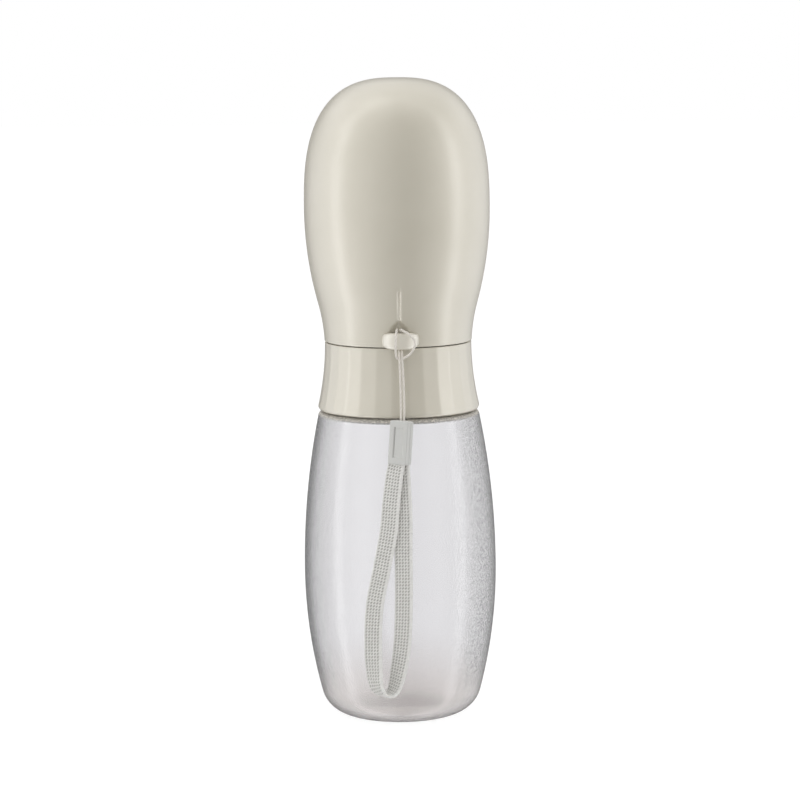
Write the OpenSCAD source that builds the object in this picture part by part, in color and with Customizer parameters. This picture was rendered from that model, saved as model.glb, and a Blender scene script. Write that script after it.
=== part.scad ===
// Travel water bottle for dogs: a clear bottle, a union collar and an egg-shaped scoop head
// whose front is open as a drinking trough. A push button at the waist lifts a sprung valve.
// Millimetres. Z is up, the foot's centre is the origin, +Y is the trough's side,
// and the wrist lanyard hangs from a lug on the -Y side.

/* [Bottle] */
// Widest outer radius of the bottle
bottle_r = 35; // [33:0.5:38]
// Height of the bottle's widest ring
bottle_mid_z = 53.7; // [50:0.1:57]
// Height of the shoulder's flat top
shoulder_z = 111.6; // [108:0.1:113]
// Arc radius of the side above the widest ring
upper_arc = 281; // [260:1:320]
// Arc radius of the side below the widest ring
lower_arc = 179; // [165:1:200]
// Rounding between side and foot
foot_round = 10.8; // [8:0.1:12]
// Rounding of the shoulder's edge
shoulder_round = 2; // [1.5:0.1:2.4]
// Wall of the bottle
bottle_wall = 1.8; // [1.5:0.1:2.2]
// Height of the dimple under the foot
foot_dimple = 1.2; // [0.8:0.1:1.6]
// Wall of the neck
neck_wall = 2.2; // [1.8:0.1:2.6]

/* [Thread] */
// Rise of the thread in one turn
thread_pitch = 4; // [3.6:0.1:4.4]
// Turns of the bottle's ridge and of the collar's ridge
thread_turns = 1.5; // [1:0.25:1.75]
// Height of a ridge above its wall
thread_depth = 1.1; // [0.8:0.1:1.2]
// Width of a ridge at its wall
thread_base = 1.6; // [1.4:0.1:1.7]
// Width of a ridge at its crest
thread_crest = 0.9; // [0.7:0.1:1]
// Gap between a crest and the wall that it faces
thread_gap = 0.35; // [0.25:0.05:0.5]
// Height of the bottle's ridge above the shoulder
thread_start = 5.4; // [5:0.1:6]

/* [Collar] */
// Wall of the collar at the waist
collar_wall = 3.27; // [2.87:0.1:3.97]
// Height of the collar
collar_h = 24; // [22:0.1:25]
// Arc radius of the collar's hollow flare
collar_arc = 100; // [90:1:130]
// Number of flat grip facets round the collar
facets = 30; // [24:1:36]
// Rounding of the collar's lower edge
collar_round = 1.6; // [1:0.1:2]
// Thickness of the collar's inner flange
collar_lip = 2.3; // [2:0.1:2.6]
// Gap between the collar and the bottle's shoulder
collar_gap = 1.1; // [0.8:0.1:1.6]

/* [Head] */
// Largest outer radius of the head
head_r = 33.5; // [32:0.25:36]
// Height of the head's widest ring
head_mid_z = 185; // [182:0.5:188]
// Height of the head's top
head_top_z = 231.7; // [226:0.1:238]
// Radius of curvature of the head's belly below its widest ring
belly_arc = 126; // [110:1:134]
// Fullness of the dome: 2 is an ellipse
dome_power = 2.68; // [2.2:0.02:3]
// Wall of the head
head_wall = 2.2; // [2:0.1:2.6]
// Seam between the collar and the head
seam = 0.4; // [0.3:0.05:0.6]
// Thickness of the deck that closes the bottle's neck
deck_t = 2.1; // [1.8:0.1:2.6]
// Thickness of the plate that closes the head's lower end
base_plate = 1.8; // [1.5:0.1:2]
// Width of the ledge that carries the trough's floor
ledge_w = 2.4; // [2:0.1:3]
// Thickness of the trough's floor
floor_t = 1.6; // [1.4:0.1:2]
// Height of the trough's lower lip above the floor of the trough
lip_rise = 1.6; // [1:0.1:4]
// Distance of the mouth's rim behind the straight line from lip to top
rim_sag = 6; // [3:0.5:8]
// Distance of the rim from the axis at the top of the head
rim_top_y = 2; // [1.5:0.1:4]

/* [Valve and button] */
// Travel of the button, and so of the valve
travel = 2.5; // [2:0.1:2.6]
// Radius of the water port
port_r = 5; // [4:0.1:5.5]
// Radius of the valve stem
stem_r = 2; // [1.8:0.1:2.2]
// Radius of the stem's cross pin
pin_r = 1; // [0.8:0.1:1.1]
// Thickness of the wedge's two cheeks
cheek_t = 2; // [1.6:0.1:2.2]
// Thickness of the valve's seal
seal_t = 2; // [1.6:0.1:2.4]
// Height of the port's seat above the deck
seat_h = 0.6; // [0.4:0.1:0.8]
// Length of the valve spring at rest
spring_h = 6.3; // [6:0.1:8]
// Wall of the valve housing
housing_wall = 2; // [1.6:0.1:2.4]
// Radius of the button's face
button_r = 6.3; // [5.5:0.1:6.5]
// Thickness of the button
button_t = 5.6; // [5:0.1:6]
// Radius of the button's dished face
dish_r = 22; // [20:0.5:30]
// Distance that the button's face stands out from the head above it
button_out = 1.3; // [1.2:0.1:2]
// Width of the raised panel round the button
panel_w = 40; // [38:0.5:42]
// Height of the raised panel round the button
panel_h = 15; // [14.5:0.1:15]
// Radius of the button's rod
rod_r = 2; // [1.8:0.1:2.2]
// Wire of both springs
wire = 0.6; // [0.5:0.05:0.7]
// Running clearance of rods in their guides
running = 0.06; // [0.05:0.01:0.1]
// Clearance round the button, the lock and the collar
play = 0.35; // [0.3:0.05:0.4]
// Travel of the lock slider
lock_travel = 3; // [2:0.25:3.5]
// Width of the lock slider
lock_w = 4; // [3.6:0.1:4.4]
// Height of the lock slider
lock_h = 5; // [4.6:0.1:5.4]

/* [Screws] */
// Radius of the base screws
screw_r = 1.25; // [1.1:0.05:1.4]
// Length of the base screws below their heads
screw_l = 8; // [7:0.5:8]
// Radius of a screw's head
screw_head_r = 2.6; // [2.4:0.1:2.8]
// Thickness of a screw's head
screw_head_t = 1.5; // [1.2:0.1:1.6]
// Wall of a screw's boss
boss_wall = 1.75; // [1.6:0.05:2]

/* [Lanyard] */
// Width of the lug's bridge
lug_w = 13.4; // [12:0.1:15]
// Height of the lug's bridge
lug_h = 5.8; // [5:0.1:6]
// Depth of the lug's bridge
lug_d = 3; // [2.6:0.1:3.2]
// Diameter of the hitch cord
cord_d = 0.85; // [0.7:0.05:0.9]
// Width of the wrist strap
strap_w = 5.4; // [5:0.1:6]
// Thickness of the wrist strap
strap_t = 1.1; // [0.9:0.1:1.2]
// Width of the ferrule
ferrule_w = 7.3; // [7:0.1:8]
// Thickness of the ferrule's two halves together
ferrule_t = 4.6; // [4.2:0.1:5]
// Height of the ferrule
ferrule_h = 15.6; // [14:0.1:16]

/* [Hidden] */
$fn = 96;
eps = 0.01;
far = 200;

// Heights from the collar's top down to the neck's lip: the neck is as high as the collar asks
gasket_t = 2;
gasket_spread = 0.2;
neck_capture = 1.6;
lip_gap = 0.3;
collar_z = shoulder_z + collar_gap;
collar_top = collar_z + collar_h;
deck_top = collar_top - collar_lip - lip_gap;
deck_z = deck_top - deck_t;
lip_z = deck_z - gasket_t;
waist_z = collar_top + seam;
plate_top = waist_z + base_plate;

// Radii from the stem out: the wedge's cheeks, the housing, the screws, the neck and the collar
cheek_gap = 0.6;
cheek_in = stem_r + cheek_gap;
cheek_out = cheek_in + cheek_t;
wedge_in = travel + cheek_in;
wedge_out = wedge_in + cheek_t + 0.2;
housing_in = norm([cheek_out, wedge_out]) + play;
housing_r = housing_in + housing_wall;
boss_r = screw_r + boss_wall;
boss_end = 1.2;
boss_top = deck_z + screw_l + boss_end + 0.3;
boss_gap = 0.6;
screw_ring = housing_r + play + boss_r + boss_gap;
base_neck_in = screw_ring + boss_r + play;
base_neck_wall = 2;
base_neck_r = base_neck_in + base_neck_wall;
neck_r = base_neck_r + neck_capture;
male_crest = neck_r + thread_depth;
collar_bore = male_crest + thread_gap;
female_crest = neck_r + thread_gap;
waist_r = collar_bore + collar_wall;
thread_z = shoulder_z + thread_start;

// Head profile: the waist's hollow curve meets the belly's where their slopes agree
waist_low = waist_z - 3.1;
waist_arc = pow(head_mid_z - waist_low, 2) / (2 * (head_r - waist_r)) - belly_arc;
join_z = (waist_arc * head_mid_z + belly_arc * waist_low) / (waist_arc + belly_arc);
dome_h = head_top_z - head_mid_z;

// Valve stack, from the deck up
seat_z = deck_top + seat_h;
seat_w = 1;
seal_r = port_r + seat_w + 1.4;
flange_z = seat_z + seal_t;
flange_t = 0.8;
flange_r = seal_r - 2;
spread_h = 1.4;
spread_r = stem_r + 1.2;
wedge_z = flange_z + flange_t + travel + 0.3;
ramp_foot = 0.6;
pin_z = wedge_z + ramp_foot + pin_r * sqrt(2) + 1.3;
ramp_z = pin_z - pin_r * sqrt(2) - running;
wedge_top = pin_z + travel - 0.5;
stem_collar_z = wedge_top + 0.4;
stem_collar_t = 0.9;
stem_collar_r = stem_r + 1.4;
bridge_t = 1.4;
bridge_z = stem_collar_z + stem_collar_t + spring_h;
stem_top = bridge_z + bridge_t - 0.4;
floor_z = stem_top + travel + 0.3;
lip_low = floor_z + floor_t + lip_rise;

// Button, rod and control panel
rod_z = (wedge_z + wedge_top) / 2;
rod_offset = 2.6;
button_z = rod_z + rod_offset;
bezel_wall = 0.9;
bezel_rim = 1;
bezel_t = 0.8;
bezel_r = button_r + play + bezel_wall;
button_y = head_side(button_z + bezel_r + bezel_rim, 0) + button_out;
button_back = button_y - button_t;
dish = 0.6;
rod_socket = 2;
clip_back = 1;
clip_t = 0.8;
clip_w = 1.3;
coil_gap = 0.9;
button_skirt = play + 0.6;
skirt_t = 1;
button_chamfer = 0.8;
button_proud = 1.2;
panel_y = button_y - button_proud;
panel_wall = 2;
panel_round = 5;
gland_y = housing_r + 2.6;
gland_r = rod_z - plate_top - 0.1;
seal_bed = 1.6;
seal_bed_r = gland_r - 0.7;
bezel_back = button_back + skirt_t + 0.4;
lock_turn = -27;
lock_z = button_z - lock_travel / 2;
lock_slot_w = lock_w + 2 * play;
lock_slot_h = lock_h + lock_travel + 2 * play;
lock_pocket = 1;
lock_out = 1.3;
lock_foot = 3.6;
lock_step_w = 1.2;
lock_step_h = 2.4;
rib_pitch = 1.4;
rib_w = 0.6;

// Lug and hitch: the cord runs on a circle round the bridge
lug_y = -waist_r - 3;
lug_z = waist_z + 3;
hitch_r = lug_h / 2 + cord_d / 2 + 0.275;
recess_r = hitch_r + cord_d / 2 + 0.33;
recess_w = 8.6;
web_w = 2;
web_h = 3.4;
pocket_wall = 1.5;
pocket_d = 6.8;
pocket_h = 9;

// Ferrule: its centre, and how far it leans, turns and tips
ferrule_at = [0.55, -34.9, 104.5];
ferrule_lean = 4;
ferrule_turn = -25;
ferrule_tip = 6;

// Route of the hitch cord: up from the ferrule, behind the bridge, over it, down its front,
// behind both tails, round to the right, over the bridge and down behind it again
cord_route = [[0.7, -34, 111.2], [0.8, -33.4, 116], [0.7, -32.2, 125], [0.45, -31.2, 133],
    [0.3, -29, 136.45], [0.2, -26.6, 138.1], [0, -26, 140.4], [-0.2, -27.1, 142.7],
    [-0.4, -29.3, 143.8], [-0.6, -31.9, 142.9], [-0.8, -33.2, 140.3], [-0.9, -33.1, 137],
    [-0.6, -31.7, 134.3], [0.5, -30, 133.3], [2, -31.3, 134], [4.3, -32.9, 135.7],
    [5.8, -33.4, 138.4], [5.5, -33, 140.8], [3.4, -32, 142.8], [2, -31.1, 143.4], [1, -29.4, 143.8],
    [0.95, -27.1, 142.7], [1.05, -26, 140.4], [1.15, -26.5, 138], [1.25, -29, 136.45],
    [1.4, -31.2, 133], [1.75, -32.2, 125], [1.9, -33.4, 116], [1.7, -34, 111.2]];

// Route of the strap's middle line, each point with the heading of its width in degrees
strap_route = [[-0.6, -36.2, 98.4, -25], [-1.7, -36.5, 93, -20], [-2.9, -37, 84, -12],
    [-4, -37.5, 73, -5], [-6.5, -38, 60, 0], [-8.8, -38.4, 49, 0], [-9.7, -38.6, 40, 0],
    [-9.9, -38.7, 31, -8], [-9.6, -38.9, 23.5, -24], [-8.9, -39, 18.2, -38], [-7, -38.9, 15.1, -48],
    [-4.5, -37.5, 14.3, -52], [-2.5, -36.3, 16.4, -46], [-1.1, -36, 22, -30], [0.2, -36.2, 30, -12],
    [0.9, -36.3, 40, 0],
    [1.2, -36.2, 52, 0], [1.2, -36, 66, 0], [1.3, -35.6, 78, -5], [0.9, -35.2, 90, -15],
    [0.6, -34.8, 98.4, -25]];

// Points of an arc in the profile plane, from angle a to angle b
function arc(x, z, r, a, b, n) =
    [for (i = [0:n]) let(t = a + (b - a) * i / n) [x + r * cos(t), z + r * sin(t)]];

// Outer radius of the bottle's side at height z
function side_arc(z) = z < bottle_mid_z ? lower_arc : upper_arc;
function side_r(z) = bottle_r - side_arc(z) + sqrt(pow(side_arc(z), 2) - pow(z - bottle_mid_z, 2));

// Outer radius of the head at height z, for a head that is w thinner all round
function dome_r(z, w) =
    (head_r - w) * pow(max(0, 1 - pow((z - head_mid_z) / (dome_h - w), dome_power)), 1 / dome_power);
function belly_r(z) = head_r - pow(head_mid_z - z, 2) / (2 * belly_arc);
function flare_r(z) = waist_r + pow(z - waist_low, 2) / (2 * waist_arc);
function head_side(z, w) = z > head_mid_z ? dome_r(z, w) : (z > join_z ? belly_r(z) : flare_r(z)) - w;

// Profile of the head, w inside its outer face, from height z0 to its top
dome_steps = 16;
function head_profile(z0, w) = concat([[0, z0]],
    [for (i = [0:14]) let(z = z0 + (head_mid_z - z0) * i / 14) [head_side(z, w), z]],
    [for (i = [1:dome_steps - 1]) let(z = head_mid_z + (dome_h - w) * sin(90 * i / dome_steps))
        [head_side(z, w), z]],
    [[0, head_top_z - w]]);

// Outer radius of the collar's facets at height z
function collar_r(z) = waist_r + pow(collar_top - z, 2) / (2 * collar_arc);

// Unit vector, and a smooth curve through the points p, with n steps between two points
function unit(v) = v / norm(v);
function spline(p, n) = concat([for (i = [0:len(p) - 2]) for (j = [0:n - 1])
    let(t = j / n, a = p[max(i - 1, 0)], b = p[i], c = p[i + 1], d = p[min(i + 2, len(p) - 1)])
    (2 * b + (c - a) * t + (2 * a - 5 * b + 4 * c - d) * t * t + (3 * b - a - 3 * c + d) * t * t * t) / 2],
    [p[len(p) - 1]]);
function place(p) = [p[0], p[1], p[2]];
function tangent(c, i) = unit(place(c[min(i + 1, len(c) - 1)]) - place(c[max(i - 1, 0)]));

// Joins equal rings of points into one closed solid
module skin(rings) {
    n = len(rings[0]);
    last = len(rings) - 1;
    sides = [for (i = [0:last - 1]) for (j = [0:n - 1]) let(k = (j + 1) % n)
        each [[i * n + j, (i + 1) * n + k, i * n + k], [i * n + j, (i + 1) * n + j, (i + 1) * n + k]]];
    low = [for (j = [0:n - 1]) j];
    high = [for (j = [n - 1:-1:0]) last * n + j];
    polyhedron(points = [for (r = rings) each r], faces = concat([low], sides, [high]), convexity = 8);
}

// Side direction of each ring, carried along the curve so that the tube doesn't twist
function carried(c, i = 0, last = [0, 0, 1]) = i >= len(c) ? [] :
    let(t = tangent(c, i), s = unit(last - t * (last * t))) concat([s], carried(c, i + 1, s));

// Round tube of diameter d along a curve
module tube(c, d, sides) {
    side = carried(c, 0, [1, 0, 0]);
    skin([for (i = [0:len(c) - 1]) let(t = tangent(c, i), u = side[i], v = cross(t, u))
        [for (k = [0:sides - 1]) c[i] + d / 2 * (cos(360 * k / sides) * u + sin(360 * k / sides) * v)]]);
}

// Flat band of width w and thickness t along a curve whose points hold their width's heading
band_section = [[-1, -0.5], [-0.85, -1], [0.85, -1], [1, -0.5], [1, 0.5], [0.85, 1], [-0.85, 1], [-1, 0.5]];
module band(c, w, t) {
    skin([for (i = [0:len(c) - 1])
        let(g = tangent(c, i), h = [cos(c[i][3]), sin(c[i][3]), 0],
            u = unit(h - g * (h * g)), v = cross(g, u), p = place(c[i]))
        [for (q = band_section)
            p + q[0] * w / 2 * u + q[1] * t / 2 * v]]);
}

// Helical ridge from radius a to radius b, sunk a little into the wall at radius a
thread_steps = 32;
module ridge(a, b, z) {
    n = round(thread_turns * thread_steps);
    root = a + sign(a - b) * 0.3;
    skin([for (i = [0:n])
        let(t = 360 * i / thread_steps, q = z + thread_pitch * i / thread_steps,
            s = min(1, min(i, n - i) / 3 + 0.15), tip = a + (b - a) * s, dir = sign(b - a))
        [for (p = [[root, -thread_base / 2], [tip, -thread_crest / 2], [tip, thread_crest / 2],
            [root, thread_base / 2]])
            [p[0] * cos(t), p[0] * sin(t), q + p[1] * -dir]]]);
}

// Coil spring along +Z from 0 to h, drawn as a solid helix of wire
module coil(h, r, turns) {
    n = turns * 14;
    route = [for (i = [0:n]) let(t = 360 * turns * i / n)
        [r * cos(t), r * sin(t), wire / 2 + (h - wire) * i / n]];
    tube(route, wire, 8);
}

module ring(r_out, r_in, h) {
    difference() {
        cylinder(r = r_out, h = h);
        translate([0, 0, -1]) cylinder(r = r_in, h = h + 2);
    }
}

// Places children with their Z along +Y, at x, y and height z
module outward(x, y, z) {
    translate([x, y, z]) rotate([-90, 0, 0]) children();
}

module pill(w, h, r) {
    for (x = [-1, 1]) for (y = [-1, 1]) translate([x * (w / 2 - r), y * (h / 2 - r)]) circle(r = r);
    square([w - 2 * r, h], center = true);
    square([w, h - 2 * r], center = true);
}

module bottle() {
    tilt = asin((bottle_mid_z - foot_round) / (lower_arc - foot_round));
    foot_x = bottle_r - lower_arc + (lower_arc - foot_round) * cos(tilt);
    side_z = foot_round - foot_round * sin(tilt);
    edge_z = shoulder_z - shoulder_round;
    edge_x = side_r(edge_z) - shoulder_round;
    inner_z = edge_z - 1.4;
    outer = concat([[0, foot_dimple], [foot_x * 0.4, foot_dimple * 0.8], [foot_x * 0.75, 0]],
        arc(foot_x, foot_round, foot_round, -90, -tilt, 8),
        [for (i = [1:12]) let(z = side_z + (bottle_mid_z - side_z) * i / 12) [side_r(z), z]],
        [for (i = [1:14]) let(z = bottle_mid_z + (edge_z - bottle_mid_z) * i / 14) [side_r(z), z]],
        arc(edge_x, edge_z, shoulder_round, 15, 90, 5), [[neck_r, shoulder_z], [neck_r, lip_z]]);
    w = bottle_wall;
    neck_in = neck_r - neck_wall;
    inner = concat([[neck_in, lip_z], [neck_in, shoulder_z - w], [edge_x - w, shoulder_z - w]],
        [for (i = [14:-1:1]) let(z = bottle_mid_z + (inner_z - bottle_mid_z) * i / 14) [side_r(z) - w, z]],
        [for (i = [12:-1:1]) let(z = side_z + (bottle_mid_z - side_z) * i / 12) [side_r(z) - w, z]],
        [for (p = arc(foot_x, foot_round, foot_round - w, -tilt, -90, 8)) p],
        [[foot_x * 0.75, w], [foot_x * 0.4, w + foot_dimple * 0.8], [0, w + foot_dimple]]);
    color([0.87, 0.87, 0.88, 0.45]) union() {
        rotate_extrude() polygon(concat(outer, inner));
        ridge(neck_r, male_crest, thread_z);
    }
}

module neck_gasket() {
    color("whitesmoke") translate([0, 0, lip_z])
        ring(neck_r + gasket_spread, neck_r - neck_wall - gasket_spread, gasket_t);
}

module collar() {
    rings = [for (i = [0:12])
        let(z = collar_z + collar_h * i / 12, low = max(0, collar_round - (z - collar_z)),
            r = collar_r(z) - (collar_round - sqrt(pow(collar_round, 2) - low * low)))
        [for (k = [0:facets - 1]) let(t = 360 * (k + 0.5) / facets - 90) [r * cos(t), r * sin(t), z]]];
    lip_at = collar_top - collar_lip;
    color([0.77, 0.75, 0.69]) union() {
        difference() {
            skin(rings);
            translate([0, 0, collar_z - 1]) cylinder(r = collar_bore, h = lip_at - collar_z + 1);
            translate([0, 0, lip_at - 1]) cylinder(r = base_neck_r + play, h = collar_lip + 2);
        }
        ridge(collar_bore, female_crest, thread_z + thread_pitch / 2);
    }
}

module head_base() {
    color([0.75, 0.73, 0.68]) difference() {
        union() {
            translate([0, 0, deck_z]) cylinder(r = collar_bore - play, h = deck_top - deck_z);
            translate([0, 0, deck_z]) ring(base_neck_r, base_neck_in, waist_z - deck_z);
            translate([0, 0, deck_top - eps]) cylinder(r = port_r + seat_w, h = seat_h + eps);
        }
        translate([0, 0, deck_z - 1]) cylinder(r = port_r, h = far);
        at_screws() translate([0, 0, deck_z - 1]) cylinder(r = screw_r + running, h = far);
    }
}

module at_screws() {
    for (i = [0:2]) rotate(120 * i + 30) translate([screw_ring, 0, 0]) children();
}

// A screw with a cross recess in its head
cross_l = 3;
cross_w = 0.6;
cross_d = 0.8;
module base_screw(i) {
    color("silver") rotate(120 * i + 30) translate([screw_ring, 0, 0]) difference() {
        union() {
            translate([0, 0, deck_z - screw_head_t]) cylinder(r = screw_head_r, h = screw_head_t);
            translate([0, 0, deck_z - eps]) cylinder(r = screw_r, h = screw_l);
        }
        for (a = [0, 90]) rotate(a) translate([-cross_l / 2, -cross_w / 2, deck_z - screw_head_t - 1])
            cube([cross_l, cross_w, cross_d + 1]);
    }
}

// The trough's mouth: everything in front of a large cylinder lying along X
module mouth() {
    lip_y = head_side(lip_low, 0);
    dy = rim_top_y - lip_y;
    dz = head_top_z - lip_low;
    chord = norm([dy, dz]);
    r = (chord * chord / 4 + rim_sag * rim_sag) / (2 * rim_sag);
    cy = (lip_y + rim_top_y) / 2 + dz / chord * (r - rim_sag);
    cz = (lip_low + head_top_z) / 2 - dy / chord * (r - rim_sag);
    translate([-far / 2, cy, cz]) rotate([0, 90, 0]) cylinder(r = r, h = far, $fn = 256);
}

// The control panel's raised block, its front curved round the axis, w smaller all round
module panel_block(w) {
    intersection() {
        outward(0, 5, button_z) linear_extrude(far) pill(panel_w - 2 * w, panel_h - 2 * w, panel_round - w);
        cylinder(r = panel_y - w, h = far);
    }
}

module lug() {
    intersection() {
        translate([-lug_w / 2, lug_y, lug_z]) rotate([90, 0, 90]) linear_extrude(lug_w)
            pill(lug_d, lug_h, lug_d / 2 - eps);
        outward(0, lug_y - lug_d, lug_z) linear_extrude(2 * lug_d) pill(lug_w, lug_h, lug_h / 2 - eps);
    }
    for (s = [-1, 1]) {
        x = (recess_w + lug_w) / 4 - 0.3;
        translate([s * x - web_w / 2, lug_y, lug_z - web_h / 2]) cube([web_w, -lug_y - waist_r + 2, web_h]);
    }
}

ledge_t = 2;
hollow_steps = 4;
module head_shell() {
    ledge_in = head_side(floor_z, head_wall) - ledge_w;
    ledge_low = floor_z - ledge_t - ledge_w;
    color([0.80, 0.78, 0.72]) difference() {
        union() {
            difference() {
                union() {
                    rotate_extrude() polygon(head_profile(waist_z, 0));
                    panel_block(0);
                }
                rotate_extrude() polygon(head_profile(floor_z, head_wall));
                rotate_extrude() polygon(concat([[0, plate_top]],
                    [for (i = [0:hollow_steps])
                        let(z = plate_top + (ledge_low - plate_top) * i / hollow_steps)
                        [head_side(z, head_wall), z]],
                    [[ledge_in, floor_z - ledge_t], [ledge_in, floor_z + eps], [0, floor_z + eps]]));
                panel_block(panel_wall);
            }
            intersection() {
                rotate_extrude() polygon(head_profile(waist_z, 1));
                translate([-recess_w / 2 - pocket_wall, lug_y, waist_z])
                    cube([recess_w + 2 * pocket_wall, pocket_d, pocket_h]);
            }
            lug();
            at_screws() translate([0, 0, deck_top]) cylinder(r = boss_r, h = boss_top - deck_top);
        }
        mouth();
        translate([-recess_w / 2, lug_y, lug_z]) rotate([0, 90, 0]) ring(recess_r, lug_h / 2 + eps, recess_w);
        translate([-recess_w / 2, lug_y, lug_z]) intersection() {
            rotate([0, 90, 0]) cylinder(r = recess_r, h = recess_w);
            translate([0, lug_d / 2, -far / 2]) cube([recess_w, far, far]);
        }
        translate([0, 0, waist_z - 1]) cylinder(r = housing_r + play, h = base_plate + 2);
        at_screws() translate([0, 0, deck_top - 1])
            cylinder(r = screw_r + running, h = boss_top - boss_end - deck_top + 1);
        outward(0, button_back - travel - 1, button_z) cylinder(r = bezel_r, h = far);
        rotate(lock_turn) outward(0, button_back - 2, button_z) linear_extrude(far)
            square([lock_slot_w - lock_step_w, lock_slot_h - lock_step_h], center = true);
        rotate(lock_turn) outward(0, panel_y - lock_pocket, button_z) linear_extrude(far)
            square([lock_slot_w, lock_slot_h], center = true);
    }
}

// The floor rests on the ledge and on the housing's top; its seal lies in a groove under its edge
floor_gap = 0.25;
floor_r = head_side(floor_z, head_wall) - floor_gap;
floor_bore = housing_r - 2;
groove_in = 1;
groove_w = 1.2;
groove_d = 0.9;
module trough_floor() {
    color([0.80, 0.78, 0.72]) difference() {
        translate([0, 0, floor_z])
            cylinder(r1 = floor_r, r2 = head_side(floor_z + floor_t, head_wall) - floor_gap, h = floor_t);
        translate([0, 0, floor_z - 1]) cylinder(r = floor_bore, h = far);
        translate([0, 0, floor_z - 1]) cylinder(r = housing_r + 0.1, h = housing_step + 1);
        translate([0, 0, floor_z - 1])
            ring(floor_r - groove_in, floor_r - groove_in - groove_w, groove_d + 1);
    }
}

module floor_seal() {
    color("gainsboro") translate([0, 0, floor_z])
        ring(floor_r - groove_in - 0.05, floor_r - groove_in - groove_w + 0.05, groove_d - 0.05);
}

grille_holes = 6;
grille_ring = 5.4;
grille_hole_r = 1.5;
grille_wall = 1.2;
grille_cup = 0.7;
module outlet_grille() {
    r = floor_bore - 0.1;
    base = floor_z + housing_step;
    color([0.72, 0.70, 0.65]) difference() {
        translate([0, 0, base]) cylinder(r = r, h = floor_t - 0.2);
        translate([0, 0, base - 1]) cylinder(r = r - grille_wall, h = grille_cup + 1);
        for (i = [1:grille_holes]) rotate(360 * i / grille_holes)
            translate([grille_ring, 0, base - 1]) cylinder(r = grille_hole_r, h = far);
        translate([0, 0, base - 1]) cylinder(r = grille_hole_r, h = far);
    }
}

// Housing of the valve: six vents in its bridge let the water up past the stem
housing_step = 0.5;
vents = 6;
vent_ring = 6.2;
vent_r = 1.9;
module valve_housing() {
    top = floor_z + housing_step;
    bay_y = sqrt(pow(housing_in, 2) - pow(cheek_out + play, 2));
    color([0.86, 0.85, 0.82]) difference() {
        union() {
            translate([0, 0, deck_top]) cylinder(r = housing_r, h = top - deck_top);
            outward(0, 0, rod_z) cylinder(r = gland_r, h = gland_y);
        }
        translate([0, 0, deck_top - 1]) cylinder(r = housing_in, h = bridge_z - deck_top + 1);
        translate([0, 0, bridge_z + bridge_t]) cylinder(r = housing_in, h = far);
        translate([0, 0, bridge_z - 1]) cylinder(r = stem_r + running, h = far);
        for (i = [1:vents]) rotate(360 * i / vents)
            translate([vent_ring, 0, bridge_z - 1]) cylinder(r = vent_r, h = far);
        outward(0, 0, rod_z) cylinder(r = rod_r + running, h = far);
        outward(0, gland_y - seal_bed, rod_z) cylinder(r = seal_bed_r, h = far);
        translate([-cheek_out - play, 2, wedge_z - play])
            cube([2 * (cheek_out + play), bay_y - 2, wedge_top - wedge_z + 2 * play]);
    }
}

module valve_seal() {
    color("white") translate([0, 0, seat_z]) ring(seal_r, stem_r, seal_t);
}

module valve_stem() {
    color([0.86, 0.85, 0.82]) difference() {
        union() {
            translate([0, 0, seat_z - spread_h]) cylinder(r1 = stem_r, r2 = spread_r, h = spread_h);
            translate([0, 0, seat_z - eps]) cylinder(r = stem_r, h = stem_top - seat_z + eps);
            translate([0, 0, flange_z]) cylinder(r = flange_r, h = flange_t);
            translate([0, 0, stem_collar_z]) cylinder(r = stem_collar_r, h = stem_collar_t);
        }
        translate([-cheek_out, 0, pin_z]) rotate([0, 90, 0]) cylinder(r = pin_r, h = 2 * cheek_out);
    }
}

module stem_pin() {
    color("silver") translate([-cheek_out, 0, pin_z]) rotate([0, 90, 0])
        cylinder(r = pin_r, h = 2 * cheek_out);
}

module valve_spring() {
    color("silver") translate([0, 0, stem_collar_z + stem_collar_t]) coil(spring_h, stem_r + coil_gap, 3);
}

module button_rod() {
    start = wedge_z + ramp_foot;
    ramp = [[start - ramp_z, wedge_z], [wedge_out, wedge_z], [wedge_out, wedge_top],
        [wedge_top - ramp_z, wedge_top], [start - ramp_z, start]];
    color([0.72, 0.70, 0.65]) union() {
        for (s = [-1, 1]) translate([s * (cheek_in + cheek_out) / 2 - 1, 0, 0])
            rotate([90, 0, 90]) linear_extrude(cheek_out - cheek_in) polygon(ramp);
        translate([-cheek_out + eps, wedge_in, wedge_z])
            cube([2 * cheek_out - 2 * eps, wedge_out - wedge_in, wedge_top - wedge_z]);
        outward(0, wedge_out - eps, rod_z)
            cylinder(r = rod_r, h = button_back + rod_socket - wedge_out + eps);
    }
}

module push_button() {
    color([0.72, 0.70, 0.65]) difference() {
        union() {
            outward(0, button_back, button_z) cylinder(r = button_r, h = button_t - button_chamfer);
            outward(0, button_y - button_chamfer, button_z)
                cylinder(r1 = button_r, r2 = button_r - button_chamfer, h = button_chamfer);
            outward(0, button_back, button_z) cylinder(r = button_r + button_skirt, h = skirt_t);
        }
        outward(0, button_back - 1, rod_z) cylinder(r = rod_r, h = rod_socket + 1);
        outward(0, button_y + dish_r - dish, button_z) sphere(r = dish_r);
    }
}

module rod_clip() {
    color("silver") outward(0, button_back - clip_back, rod_z) ring(rod_r + clip_w, rod_r, clip_t);
}

module rod_seal() {
    color("dimgray") outward(0, gland_y - seal_bed, rod_z)
        ring(seal_bed_r - eps, rod_r + running, seal_bed - 0.1);
}

module button_spring() {
    color("silver") outward(0, gland_y, rod_z) coil(button_back - clip_back - gland_y, rod_r + coil_gap, 4);
}

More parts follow.
